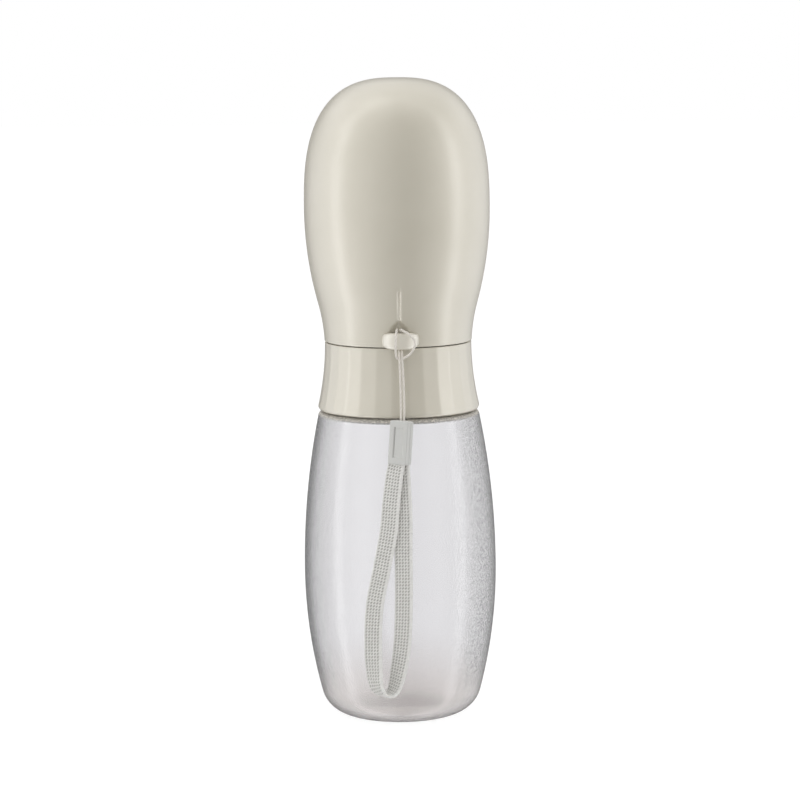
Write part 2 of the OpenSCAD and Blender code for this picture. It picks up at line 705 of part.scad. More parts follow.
module button_bezel() {
    color([0.72, 0.70, 0.65]) difference() {
        union() {
            outward(0, bezel_back, button_z) cylinder(r = bezel_r - 0.05, h = panel_y - bezel_back);
            outward(0, panel_y, button_z) cylinder(r = bezel_r + bezel_rim, h = bezel_t);
        }
        outward(0, 0, button_z) cylinder(r = button_r + play, h = far);
    }
}

// The slider's head lies in a pocket of the panel; its foot passes the slot and carries the clip
module lock_slider() {
    head_low = panel_y - lock_pocket + 0.1;
    foot_low = panel_y - lock_foot;
    color([0.72, 0.70, 0.65]) rotate(lock_turn) outward(0, 0, lock_z) union() {
        translate([0, 0, head_low]) linear_extrude(panel_y + lock_out - head_low)
            square([lock_w, lock_h], center = true);
        translate([0, 0, foot_low]) linear_extrude(head_low - foot_low + eps)
            square([lock_w - lock_step_w - play, lock_h - lock_step_h], center = true);
        for (y = [-1, 0, 1])
            translate([-lock_w / 2 + 0.4, y * rib_pitch - rib_w / 2, panel_y + lock_out - 0.1])
            cube([lock_w - 0.8, rib_w, 0.5]);
    }
}

module lock_clip() {
    color("silver") rotate(lock_turn) outward(0, panel_y - lock_foot, lock_z)
        linear_extrude(clip_t) difference() {
        square([lock_w + 1.6, lock_h + 1], center = true);
        square([lock_w - lock_step_w - play, lock_h - lock_step_h], center = true);
    }
}

module hitch_cord() {
    color("whitesmoke") tube(spline(cord_route, 2), cord_d, 8);
}

module at_ferrule() {
    translate(ferrule_at) rotate([-ferrule_tip, ferrule_lean, 0]) rotate(ferrule_turn) children();
}

ferrule_edge = 1.1;
ferrule_corner = 1.3;
ferrule_split = 0.06;
module ferrule_blank() {
    intersection() {
        translate([0, 0, -ferrule_h / 2]) linear_extrude(ferrule_h) pill(ferrule_w, ferrule_t, ferrule_edge);
        rotate([90, 0, 0]) translate([0, 0, -ferrule_t]) linear_extrude(2 * ferrule_t)
            pill(ferrule_w, ferrule_h, ferrule_corner);
    }
}

// The front half has a shallow inset with a narrow slot in it
inset_w = 3.6;
inset_d = 0.35;
inset_end = 2.4;
slot_w = 0.5;
slot_d = 0.75;
slot_end = 3.2;
module ferrule_front() {
    color([0.76, 0.76, 0.74]) at_ferrule() difference() {
        intersection() {
            ferrule_blank();
            translate([-far / 2, -far, -far / 2]) cube([far, far, far]);
        }
        translate([-1.7, -ferrule_t / 2 - 1, -ferrule_h / 2 + inset_end])
            cube([inset_w, inset_d + 1, ferrule_h - 2 * inset_end]);
        translate([-slot_w, -ferrule_t / 2 - 1, -ferrule_h / 2 + slot_end])
            cube([slot_w, slot_d + 1, ferrule_h - 2 * slot_end]);
    }
}

module ferrule_back() {
    color([0.70, 0.70, 0.69]) at_ferrule() intersection() {
        ferrule_blank();
        translate([-far / 2, ferrule_split, -far / 2]) cube([far, far, far]);
    }
}

module wrist_strap() {
    color("gainsboro") band(spline(strap_route, 3), strap_w, strap_t);
}

bottle();
neck_gasket();
collar();
head_base();
base_screw(0);  // base_screw_1
base_screw(1);  // base_screw_2
base_screw(2);  // base_screw_3
head_shell();
trough_floor();
floor_seal();
outlet_grille();
valve_housing();
valve_seal();
valve_stem();
stem_pin();
valve_spring();
push_button();
button_rod();
rod_clip();
rod_seal();
button_spring();
button_bezel();
lock_slider();
lock_clip();
hitch_cord();
ferrule_front();
ferrule_back();
wrist_strap();
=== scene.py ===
"""Travel water bottle for dogs: the shape and finish of every visible piece, on the solid model.

Sizes are in millimetres, as in the solids; piece() turns them into metres. +Z is up the bottle's
axis, +Y is the side of the trough and its button, and the wrist strap hangs at -Y.
A surface is a grid of points: one function of two parameters, or a profile carried along a path.
"""

import bmesh
import bpy
import numpy as np
from mathutils import Euler, Matrix


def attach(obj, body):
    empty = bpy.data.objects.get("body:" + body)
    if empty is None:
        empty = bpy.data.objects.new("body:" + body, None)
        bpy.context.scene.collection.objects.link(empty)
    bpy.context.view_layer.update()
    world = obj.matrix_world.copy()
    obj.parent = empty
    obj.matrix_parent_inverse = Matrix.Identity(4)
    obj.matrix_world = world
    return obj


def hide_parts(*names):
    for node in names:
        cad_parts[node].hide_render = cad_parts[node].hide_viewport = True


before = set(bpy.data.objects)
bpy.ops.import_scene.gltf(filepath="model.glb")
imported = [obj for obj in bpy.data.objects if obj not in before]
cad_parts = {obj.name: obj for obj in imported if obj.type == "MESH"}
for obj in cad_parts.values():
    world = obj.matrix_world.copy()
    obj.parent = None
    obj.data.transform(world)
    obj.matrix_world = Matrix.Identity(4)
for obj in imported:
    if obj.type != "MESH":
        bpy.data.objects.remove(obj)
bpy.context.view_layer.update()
MM = 0.001

# ---------------------------------------------------------------- sizes
#
# They are the solids' own to 0.01 mm, with these differences. The collar's lower edge is 0.6 mm
# lower, its upper edge 0.1 mm higher, and its facets are turned by FACET_TURN. The lug's, the
# recess's and the strap's differences are named where they are made.

BOTTLE_R = 35.0
BOTTLE_MID_Z = 53.7
SHOULDER_Z = 111.6
UPPER_ARC = 281.0
LOWER_ARC = 179.0
FOOT_ROUND = 10.8
SHOULDER_ROUND = 2.0
BOTTLE_WALL = 1.8
FOOT_DIMPLE = 1.2
NECK_R = 21.88
NECK_WALL = 2.2
LIP_Z = 130.0

THREAD_PITCH = 4.0
THREAD_TURNS = 1.5
THREAD_DEPTH = 1.1
THREAD_BASE = 1.6
THREAD_CREST = 0.9
THREAD_Z = 117.0

COLLAR_LOW = 112.1
COLLAR_TOP = 136.8
COLLAR_ARC = 100.0
COLLAR_BORE = 23.33
COLLAR_ROUND = 1.6
COLLAR_TOP_ROUND = 0.35
COLLAR_LIP = 2.3
COLLAR_LIP_R = 20.63
FACETS = 30
FACET_EASE = 1400
FACET_CUT = 0.9991

WAIST_R = 26.6
WAIST_Z = 137.1
WAIST_LOW = WAIST_Z - 3.1
HEAD_R = 33.5
HEAD_MID_Z = 185.0
HEAD_TOP_Z = 231.7
HEAD_WALL = 2.2
DOME_POWER = 2.68
DOME_H = HEAD_TOP_Z - HEAD_MID_Z
BELLY_ARC = 126.0
WAIST_ARC = (HEAD_MID_Z - WAIST_LOW) ** 2 / (2 * (HEAD_R - WAIST_R)) - BELLY_ARC
JOIN_Z = (WAIST_ARC * HEAD_MID_Z + BELLY_ARC * WAIST_LOW) / (WAIST_ARC + BELLY_ARC)
PLATE_TOP = WAIST_Z + 1.8
PLATE_BORE = 11.33
FLOOR_Z = 157.01
LEDGE_W = 2.4
LEDGE_T = 2.0

LIP_LOW = 160.21
RIM_SAG = 6.0
RIM_TOP_Y = 2.0

BUTTON_Z = 145.56
BUTTON_Y = 31.01
BUTTON_BACK = 25.41
BUTTON_R = 6.3
PANEL_Y = 29.81
PANEL_W = 40.0
PANEL_H = 15.0
PANEL_ROUND = 5.0
PANEL_WALL = 2.0
BEZEL_R = 7.55
LOCK_TURN = -27.0
LOCK_Z = 144.06
LOCK_W = 4.0
LOCK_H = 5.0
LOCK_TRAVEL = 3.0
PLAY = 0.35

FACET_TURN = 1.0
LUG_Y = -29.6
LUG_Z = 140.1
LUG_W = 13.4
LUG_H = 5.8
LUG_D = 3.0
RECESS_R = 4.35
RECESS_W = 8.6
RECESS_HALF = 5.2
RECESS_X = 0.4
ROOF_DEPTH = 3.8
ROOF_FALL = 0.2
ROOF_UP = 2.6
DENT_DEPTH = 0.45
# The bridge is drawn this much to the right of its solid, and this much lower.
LUG_SHIFT = 0.8
LUG_DROP = 0.45

CORD_D = 0.85
# The woven band with its selvedges, wider than the solid band.
BRAID_W = 6.0
STRAP_T = 1.1
FERRULE_W = 7.3
FERRULE_T = 4.6
FERRULE_H = 15.6
FERRULE_AT = (0.55, -34.9, 104.5)
FERRULE_LEAN = 4.0
FERRULE_TURN = -25.0
FERRULE_TIP = 6.0

# Routes of the hitch cord and of the strap's middle line, in metres, as the solids have them;
# the strap's fourth number is the heading of its width in degrees.
CORD_ROUTE = np.array([
    (0.0007, -0.034, 0.1112), (0.0008, -0.0334, 0.116), (0.0007, -0.0322, 0.125),
    (0.00045, -0.0312, 0.133), (0.0003, -0.029, 0.13645), (0.0002, -0.0266, 0.1381),
    (0, -0.026, 0.1404), (-0.0002, -0.0271, 0.1427), (-0.0004, -0.0293, 0.1438),
    (-0.0006, -0.0319, 0.1429), (-0.0008, -0.0332, 0.1403), (-0.0009, -0.0331, 0.137),
    (-0.0006, -0.0317, 0.1343), (0.0005, -0.03, 0.1333), (0.002, -0.0313, 0.134),
    (0.0043, -0.0329, 0.1357), (0.0058, -0.0334, 0.1384), (0.0055, -0.033, 0.1408),
    (0.0034, -0.032, 0.1428), (0.002, -0.0311, 0.1434), (0.001, -0.0294, 0.1438),
    (0.00095, -0.0271, 0.1427), (0.00105, -0.026, 0.1404), (0.00115, -0.0265, 0.138),
    (0.00125, -0.029, 0.13645), (0.0014, -0.0312, 0.133), (0.00175, -0.0322, 0.125),
    (0.0019, -0.0334, 0.116), (0.0017, -0.034, 0.1112)])
STRAP_ROUTE = np.array([
    (-0.0006, -0.0362, 0.0984, -25), (-0.0017, -0.0365, 0.093, -20), (-0.0029, -0.037, 0.084, -12),
    (-0.004, -0.0375, 0.073, -5), (-0.0065, -0.038, 0.06, 0), (-0.0088, -0.0384, 0.049, 0),
    (-0.0097, -0.0386, 0.04, 0), (-0.0099, -0.0387, 0.031, -8), (-0.0096, -0.0389, 0.0235, -24),
    (-0.0089, -0.039, 0.0182, -38), (-0.007, -0.0389, 0.0151, -48), (-0.0045, -0.0375, 0.0143, -52),
    (-0.0025, -0.0363, 0.0164, -46), (-0.0011, -0.036, 0.022, -30), (0.0002, -0.0362, 0.03, -12),
    (0.0009, -0.0363, 0.04, 0), (0.0012, -0.0362, 0.052, 0), (0.0012, -0.036, 0.066, 0),
    (0.0013, -0.0356, 0.078, -5), (0.0009, -0.0352, 0.09, -15), (0.0006, -0.0348, 0.0984, -25)])

# ---------------------------------------------------------------- camera

CAMERA_AT = (0.00047, -0.96245, 0.24078)
CAMERA_TILT = 7.443
CAMERA_ROLL = -0.56
CAMERA_LENS = 120.0


def new_object(name, data):
    made = bpy.data.objects.new(name, data)
    bpy.context.scene.collection.objects.link(made)
    return made


def make_camera():
    """A long lens before the lug, a little above the bottle and tilted down to its middle."""
    data = bpy.data.cameras.new("camera")
    data.lens = CAMERA_LENS
    data.sensor_width = 36
    data.clip_end = 50
    camera = new_object("camera", data)
    level = Euler((np.radians(90 - CAMERA_TILT), 0, 0)).to_matrix()
    roll = Matrix.Rotation(np.radians(CAMERA_ROLL), 3, "Z")
    camera.matrix_world = Matrix.Translation(CAMERA_AT) @ (level @ roll).to_4x4()
    bpy.context.scene.camera = camera


make_camera()

# ---------------------------------------------------------------- node groups and materials


def put(tree, socket, value):
    """Gives a socket its value, or links it from another socket."""
    if isinstance(value, bpy.types.NodeSocket):
        tree.links.new(value, socket)
    else:
        socket.default_value = value


def add(tree, kind, inputs=None, **settings):
    """Adds a node: its settings first, then each input as a value or as a link from a socket."""
    made = tree.nodes.new(kind)
    for key, value in settings.items():
        setattr(made, key, value)
    for key, value in (inputs or {}).items():
        put(tree, made.inputs[key], value)
    return made


def math_node(tree, operation, *values):
    return add(tree, "ShaderNodeMath", dict(enumerate(values)), operation=operation).outputs[0]


def plus(tree, a, b):
    return math_node(tree, "ADD", a, b)


def times(tree, a, b):
    return math_node(tree, "MULTIPLY", a, b)


def scaled(tree, colour, factor):
    return add(tree, "ShaderNodeVectorMath", {0: colour, "Scale": factor}, operation="SCALE").outputs[0]


def attribute(tree, name):
    return add(tree, "ShaderNodeAttribute", attribute_name=name).outputs["Fac"]


def ramp(tree, value, low, high, to_low=0.0, to_high=1.0):
    """Value from low to high becomes to_low to to_high, held at both ends."""
    inputs = {"Value": value, "From Min": low, "From Max": high, "To Min": to_low, "To Max": to_high}
    return add(tree, "ShaderNodeMapRange", inputs).outputs["Result"]


def mix_colour(tree, factor, a, b):
    return add(tree, "ShaderNodeMix", {0: factor, 6: a, 7: b}, data_type="RGBA").outputs[2]


def noise(tree, vector, scale, detail=2.0, roughness=0.5):
    inputs = {"Vector": vector, "Scale": scale, "Detail": detail, "Roughness": roughness}
    return add(tree, "ShaderNodeTexNoise", inputs).outputs["Fac"]


FLOAT = "NodeSocketFloat"
VECTOR = "NodeSocketVector"
COLOUR = "NodeSocketColor"


def new_group(name, inputs, outputs):
    """A shader node group with named sockets: inputs by kind and default value, outputs by kind."""
    group = bpy.data.node_groups.new(name, "ShaderNodeTree")
    for socket, (kind, value) in inputs.items():
        made = group.interface.new_socket(name=socket, in_out="INPUT", socket_type=kind)
        if value is not None:
            made.default_value = value
    for socket, kind in outputs.items():
        group.interface.new_socket(name=socket, in_out="OUTPUT", socket_type=kind)
    return group, group.nodes.new("NodeGroupInput"), group.nodes.new("NodeGroupOutput")


def moulding_group():
    """Moulded plastic: slow blotches that shift its shade, and the fine spark grain of its tool."""
    group, inside, out = new_group(
        "moulding",
        {"Vector": (VECTOR, None), "Blotch Scale": (FLOAT, 60.0),
         "Grain Scale": (FLOAT, 5000.0)},
        {"Blotch": FLOAT, "Grain": FLOAT})
    blotch = noise(group, inside.outputs["Vector"], inside.outputs["Blotch Scale"], 3)
    fine = noise(group, inside.outputs["Vector"], inside.outputs["Grain Scale"], 2, 0.6)
    group.links.new(ramp(group, blotch, 0.3, 0.7), out.inputs["Blotch"])
    group.links.new(fine, out.inputs["Grain"])
    return group


def peel_group():
    """Orange peel of a blown clear wall: soft dimples, and sharper pips at 1.9 times their scale."""
    group, inside, out = new_group(
        "peel",
        {"Vector": (VECTOR, None), "Scale": (FLOAT, 700.0)},
        {"Height": FLOAT, "Pips": FLOAT})
    soft = noise(group, inside.outputs["Vector"], inside.outputs["Scale"], 1, 0.5)
    pips = noise(group, inside.outputs["Vector"], times(group, inside.outputs["Scale"], 1.9), 2, 0.6)
    group.links.new(plus(group, times(group, soft, 0.6), times(group, pips, 0.4)), out.inputs["Height"])
    group.links.new(ramp(group, pips, 0.42, 0.62), out.inputs["Pips"])
    return group


def yarn_group():
    """Yarn: fine fibres along the thread, painted shade where the thread dips, and a little uneven in tone.
    """
    group, inside, out = new_group(
        "yarn",
        {"Vector": (VECTOR, None), "Crest": (FLOAT, 1.0),
         "Dip Shade": (COLOUR, (0.3, 0.29, 0.28, 1)),
         "Thread": (COLOUR, (0.8, 0.79, 0.77, 1))},
        {"Color": COLOUR, "Fibre": FLOAT})
    fibre = noise(group, inside.outputs["Vector"], 9000.0, 2, 0.7)
    tone = noise(group, inside.outputs["Vector"], 900.0, 2, 0.5)
    # Painted shade: the dip colour where the crest is low, the thread colour where it is high.
    lifted = mix_colour(group, inside.outputs["Crest"], inside.outputs["Dip Shade"], inside.outputs["Thread"])
    shade = ramp(group, tone, 0.3, 0.7, 0.9, 1.04)
    group.links.new(scaled(group, lifted, shade), out.inputs["Color"])
    group.links.new(fibre, out.inputs["Fibre"])
    return group


# How strongly the clear wall takes up light, for each metre.
WALL_GREY = 100.0
GRAIN_DEPTH = 0.00002
MOULDING = moulding_group()
PEEL = peel_group()
YARN = yarn_group()


def new_material(name):
    material = bpy.data.materials.new(name)
    material.use_nodes = True
    tree = material.node_tree
    shader = tree.nodes["Principled BSDF"]
    place = add(tree, "ShaderNodeTexCoord").outputs["Object"]
    return material, tree, shader, place


def grouped(tree, group, inputs):
    """Places a shared node group in a material with its own values."""
    return add(tree, "ShaderNodeGroup", inputs, node_tree=group)


def dress(tree, shader, inputs):
    """Fills the shader's own sockets by name."""
    for key, value in inputs.items():
        put(tree, shader.inputs[key], value)


def bump(tree, shader, height, strength, distance):
    made = add(tree, "ShaderNodeBump", {"Height": height, "Strength": strength, "Distance": distance})
    tree.links.new(made.outputs["Normal"], shader.inputs["Normal"])


def moulded(name, light, dark, roughness, blotch_scale=60.0, coat=0.0, coat_roughness=0.2):
    """Moulded plastic between two near shades, with tool grain in its bump and roughness."""
    material, tree, shader, place = new_material(name)
    made = grouped(tree, MOULDING, {"Vector": place, "Blotch Scale": blotch_scale})
    blotch = made.outputs["Blotch"]
    dress(tree, shader, {
        "Base Color": mix_colour(tree, blotch, dark, light),
        "Roughness": ramp(tree, blotch, 0.0, 1.0, roughness + 0.03, roughness - 0.03),
        "Coat Weight": coat,
        "Coat Roughness": coat_roughness,
    })
    bump(tree, shader, made.outputs["Grain"], 0.5, GRAIN_DEPTH)
    return material


def clear_wall(name):
    """Pebbled clear copolyester: it refracts, takes up a little light, and is dusty at its shoulder.

    The attributes say where: pebbled is the outer face above the foot, frosted the shoulder under
    the collar, and thick the foot, where the wall gathers and warms the light. Painted shade darkens
    the tint where the wall turns away from the view, less at the foot, and painted dark specks stand
    for the shade of the pebbles there; pebbles and specks are stronger towards +X than towards -X.
    """
    material, tree, shader, place = new_material(name)
    made = grouped(tree, PEEL, {"Vector": place, "Scale": 720.0})
    pips = made.outputs["Pips"]
    pebbled, frosted, thick = [attribute(tree, key) for key in ("pebbled", "frosted", "thick")]
    facing = add(tree, "ShaderNodeLayerWeight", {"Blend": 0.5}).outputs["Facing"]
    across = add(tree, "ShaderNodeSeparateXYZ", {0: place}).outputs["X"]
    warm = mix_colour(tree, thick, (0.965, 0.96, 0.97, 1), (0.985, 0.95, 0.935, 1))
    # Painted shade: the tint darkens where the wall turns away from the view, less at the foot.
    shade = ramp(tree, facing, 0.05, 0.45, 1.0, ramp(tree, thick, 0.0, 1.0, 0.8, 0.93))
    # Painted shade of the pebbles: dark specks where the wall turns away, more towards +X.
    painted_pebble_shade = times(tree, pips, ramp(tree, facing, 0.2, 0.5, 0.0, 0.45))
    painted_pebble_shade = times(tree, painted_pebble_shade, ramp(tree, across, -0.02, 0.02, 0.5, 1.0))
    shade = math_node(tree, "SUBTRACT", shade, times(tree, painted_pebble_shade, pebbled))
    dusty = scaled(tree, (1.0, 0.95, 0.86), ramp(tree, pips, 0.0, 1.0, 0.55, 1.0))
    milky = plus(tree, times(tree, frosted, 0.6), times(tree, thick, 0.12))
    satin = ramp(tree, times(tree, pips, pebbled), 0.0, 1.0, 0.16, 0.24)
    rough = plus(tree, satin, times(tree, frosted, 0.3))
    dress(tree, shader, {
        "Base Color": mix_colour(tree, frosted, scaled(tree, warm, shade), dusty),
        "Transmission Weight": math_node(tree, "SUBTRACT", 1.0, milky),
        "IOR": 1.45,
        "Specular IOR Level": 0.4,
        "Roughness": plus(tree, rough, times(tree, thick, 0.06)),
    })
    height = times(tree, made.outputs["Height"], pebbled)
    height = times(tree, height, ramp(tree, across, -0.02, 0.02, 0.3, 0.8))
    bump(tree, shader, height, 0.35, 0.0005)
    grey = add(tree, "ShaderNodeVolumeAbsorption", {"Color": (0.5, 0.5, 0.51, 1), "Density": WALL_GREY})
    tree.links.new(grey.outputs[0], tree.nodes["Material Output"].inputs["Volume"])
    return material


def woven(name, dip_shade, thread, depth):
    """Textile: the yarn group, which paints shade into the dips by the crest attribute, with fibres in its
    bump.
    """
    material, tree, shader, place = new_material(name)
    inputs = {"Vector": place, "Crest": attribute(tree, "crest"), "Dip Shade": dip_shade, "Thread": thread}
    made = grouped(tree, YARN, inputs)
    dress(tree, shader, {"Base Color": made.outputs["Color"], "Roughness": 0.7, "Sheen Weight": 0.25})
    bump(tree, shader, made.outputs["Fibre"], 0.5, depth)
    return material


def metal(name, colour, roughness):
    """Drawn steel: fine scratches in its roughness and bump."""
    material, tree, shader, place = new_material(name)
    made = grouped(tree, MOULDING, {"Vector": place, "Blotch Scale": 300.0, "Grain Scale": 9000.0})
    rough = ramp(tree, made.outputs["Blotch"], 0.0, 1.0, roughness, roughness + 0.12)
    dress(tree, shader, {"Base Color": colour, "Metallic": 1.0, "Roughness": rough})
    bump(tree, shader, made.outputs["Grain"], 0.3, 0.00001)
    return material


SATIN_COAT = {"coat": 1.0, "coat_roughness": 0.28}
PEARL = moulded("pearl plastic", (0.560, 0.524, 0.436, 1), (0.535, 0.501, 0.413, 1), 0.38, **SATIN_COAT)
# The lug's pearl is the head's pearl made lighter: painted light on the bridge's rounded face.
PEARL_PAINTED_LIGHTER = moulded("pearl plastic painted lighter for the lug", (0.71, 0.675, 0.59, 1), (0.69, 0.655, 0.57, 1), 0.38,
                    **SATIN_COAT)
TRIM = moulded("trim plastic", (0.640, 0.610, 0.540, 1), (0.615, 0.585, 0.515, 1), 0.42, 90.0)
INNER = moulded("inner plastic", (0.76, 0.75, 0.71, 1), (0.72, 0.71, 0.67, 1), 0.45, 120.0)
FERRULE = moulded("ferrule plastic", (0.555, 0.555, 0.535, 1), (0.57, 0.57, 0.545, 1), 0.4, 400.0)
SILICONE = moulded("silicone", (0.82, 0.82, 0.80, 1), (0.77, 0.77, 0.75, 1), 0.6, 200.0)
RUBBER = moulded("seal rubber", (0.055, 0.055, 0.058, 1), (0.04, 0.04, 0.042, 1), 0.65, 300.0)
CLEAR = clear_wall("clear wall")
# Each weave's first colour is painted shade in the dips between threads: deep for the webbing, mild for the
# cord.
WEBBING = woven("webbing", (0.36, 0.352, 0.325, 1), (0.95, 0.94, 0.91, 1), 0.00003)
CORD = woven("cord yarn", (0.68, 0.635, 0.58, 1), (0.80, 0.765, 0.70, 1), 0.00002)
STEEL = metal("steel", (0.62, 0.61, 0.59, 1), 0.28)

# ---------------------------------------------------------------- mesh helpers


def grid_faces(rows, columns, close_rows, close_columns):
    """Quads of a grid: each joins a point, its right neighbour and the two points above them."""
    row, column = np.meshgrid(
        np.arange(rows if close_rows else rows - 1),
        np.arange(columns if close_columns else columns - 1), indexing="ij")
    up = (row + 1) % rows
    right = (column + 1) % columns
    corners = [row * columns + column, row * columns + right, up * columns + right, up * columns + column]
    return np.stack(corners, -1).reshape(-1, 4)


def piece(name, grid, material, body, close_rows=False, close_columns=True, slot=None, **attributes):
    """A grid of points in millimetres as one piece: doubles merged, faces outwards, riding on its body."""
    rows, columns = grid.shape[:2]
    mesh = bpy.data.meshes.new(name)
    points = (grid.reshape(-1, 3) * MM).astype(float)
    mesh.from_pydata(points.tolist(), [], grid_faces(rows, columns, close_rows, close_columns).tolist())
    for key, values in attributes.items():
        layer = mesh.attributes.new(key, "FLOAT", "POINT")
        layer.data.foreach_set("value", np.broadcast_to(values, (rows, columns)).astype(np.float32).ravel())
    work = bmesh.new()
    work.from_mesh(mesh)
    bmesh.ops.remove_doubles(work, verts=work.verts, dist=2e-7)
    bmesh.ops.recalc_face_normals(work, faces=work.faces)
    for face in work.faces:
        face.smooth = True
    work.to_mesh(mesh)
    work.free()
    mesh.materials.append(material)
    made = new_object(name, mesh)
    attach(made, body)
    return made


def sharpen(made, degrees):
    """Edges that fold by more than this many degrees are drawn sharp, and the rest smooth."""
    made.data.set_sharp_from_angle(angle=np.radians(degrees))
    return made


def smooth_step(value, low, high):
    """Rises from 0 at low to 1 at high along 3t^2 - 2t^3."""
    t = np.clip((value - low) / (high - low), 0, 1)
    return t * t * (3 - 2 * t)


def bell(value, middle, width):
    """A soft ridge: exp(-((value - middle) / width)^2)."""
    return np.exp(-((value - middle) / width) ** 2)


def filleted(corners, radii, steps=5):
    """A closed outline with each corner cut back by its radius and bridged by a quadratic curve."""
    corners = np.array(corners, float)
    out = []
    for before, corner, after, radius in zip(np.roll(corners, 1, 0), corners, np.roll(corners, -1, 0), radii):
        if radius == 0:
            out.append([corner])
            continue
        start = corner + (before - corner) * min(radius / np.linalg.norm(before - corner), 0.49)
        end = corner + (after - corner) * min(radius / np.linalg.norm(after - corner), 0.49)
        t = np.linspace(0, 1, steps + 1)[:, None]
        out.append((1 - t) ** 2 * start + 2 * t * (1 - t) * corner + t ** 2 * end)
    return np.concatenate(out)


def full_turn(steps, start=0.0):
    return np.linspace(start, start + 2 * np.pi, steps, endpoint=False)


def unit(vectors):
    return vectors / np.linalg.norm(vectors, axis=-1, keepdims=True)


def polar(r, angle, z):
    """Points at radius r and this angle about the axis, at height z."""
    return np.stack([r * np.cos(angle), r * np.sin(angle), z + 0 * angle], -1)


def run_along(path):
    """The distance along a path at each of its points."""
    return np.concatenate([[0], np.cumsum(np.linalg.norm(np.diff(path, axis=0), axis=1))])


def spaced(path, run, at):
    """The points of a path at these distances along it."""
    return np.stack([np.interp(at, run, path[:, k]) for k in range(path.shape[1])], -1)


def revolved(profile, steps=192):
    """Each profile point (r, z) is carried round the axis."""
    turn = full_turn(steps)
    r, z = np.asarray(profile, float).T[:, :, None]
    return polar(r, turn, z)


def facing_out(grid, x, y, z, turn=0.0):
    """Turns a shape made along +Z so that it points along +Y, moves it, then turns it about the axis."""
    laid = np.stack([grid[..., 0] + x, grid[..., 2] + y, -grid[..., 1] + z], -1)
    c, s = np.cos(np.radians(turn)), np.sin(np.radians(turn))
    x, y, z = np.moveaxis(laid, -1, 0)
    return np.stack([c * x - s * y, s * x + c * y, z], -1)


def curve_through(points, steps):
    """Catmull-Rom curve: between two points, a cubic whose slopes follow the neighbours' chords."""
    p = np.asarray(points, float)
    before = np.concatenate([p[:1], p[:-2]])
    after = np.concatenate([p[2:], p[-1:]])
    a, b = p[:-1, None], p[1:, None]
    t = (np.arange(steps) / steps)[None, :, None]
    c, d = b - before[:, None], after[:, None] - a
    cubic = (2 * a + c * t + (6 * (b - a) - 2 * c - d) * t ** 2 + (c + d - 4 * (b - a)) * t ** 3) / 2
    return np.concatenate([cubic.reshape(-1, p.shape[1]), p[-1:]])


def tangents(path):
    return unit(np.gradient(path, axis=0))


def carried_sides(ahead, first):
    """Side direction of each ring, carried along the path so that a tube doesn't twist."""
    sides = []
    side = np.array(first, float)
    for direction in ahead:
        side = unit(side - direction * side.dot(direction))
        sides.append(side)
    return np.array(sides)


# ---------------------------------------------------------------- the lanyard, which comes first


def capped(rings):
    """Closes a tube with a point at the middle of its first and of its last ring."""
    first = np.repeat(rings[:1].mean(1, keepdims=True), rings.shape[1], 1)
    last = np.repeat(rings[-1:].mean(1, keepdims=True), rings.shape[1], 1)
    return np.concatenate([first, rings, last])


def make_hitch_cord():
    """Twisted cord: radius r (1 + d cos 3(a - k s)), three plies that wind round the path."""
    sides, lay, depth = 24, 1.5, 0.035
    path = curve_through(CORD_ROUTE, 14) / MM
    ahead = tangents(path)
    u = carried_sides(ahead, (1, 0, 0))
    v = np.cross(ahead, u)
    angle = full_turn(sides)
    ply = np.cos(3 * (angle[None, :] - 2 * np.pi * run_along(path)[:, None] / lay / 3))
    radius = CORD_D / 2 * (1 - depth + depth * ply)[..., None]
    ring = radius * (np.cos(angle)[None, :, None] * u[:, None] + np.sin(angle)[None, :, None] * v[:, None])
    rings = capped(path[:, None] + ring)
    # The crest attribute sets where the cord's material paints shade into the grooves between plies.
    crest = np.concatenate([ply[:1], ply, ply[-1:]]) * 0.5 + 0.5
    made = piece("hitch_cord_yarn", rings, CORD, "lanyard", slot="cord", crest=crest)
    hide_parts("hitch_cord")


STITCH_COLUMNS = 5
STITCH_W = 1.03
STITCH_PITCH = 1.14
STITCH_H = 0.26
ROWS_PER_STITCH = 7


def strap_section(samples, edge_samples):
    """Once round a flat band: across its front, round an edge, back across, and round the other.

    Returns the offsets across and through the band, the outward direction there, the column
    coordinate, and which points lie on a face between column 0 and STITCH_COLUMNS.
    """
    half, thick = BRAID_W / 2, STRAP_T / 2 - STITCH_H
    flat = half - thick
    across = np.linspace(-flat, flat, samples)
    bend = np.linspace(90, -90, edge_samples + 2)[1:-1]
    bx, bz = thick * np.cos(np.radians(bend)), thick * np.sin(np.radians(bend))
    x = np.concatenate([across, flat + bx, across[::-1], -flat - bx])
    z = np.concatenate([across * 0 + thick, bz, across * 0 - thick, -bz])
    outward = np.stack([np.concatenate([across * 0, bx, across * 0, -bx]) / thick, z / thick], -1)
    column = (x + half - 0.1) / STITCH_W
    on_face = (abs(x) <= flat) & (column > 0) & (column < STITCH_COLUMNS)
    return x, z, outward, column, on_face


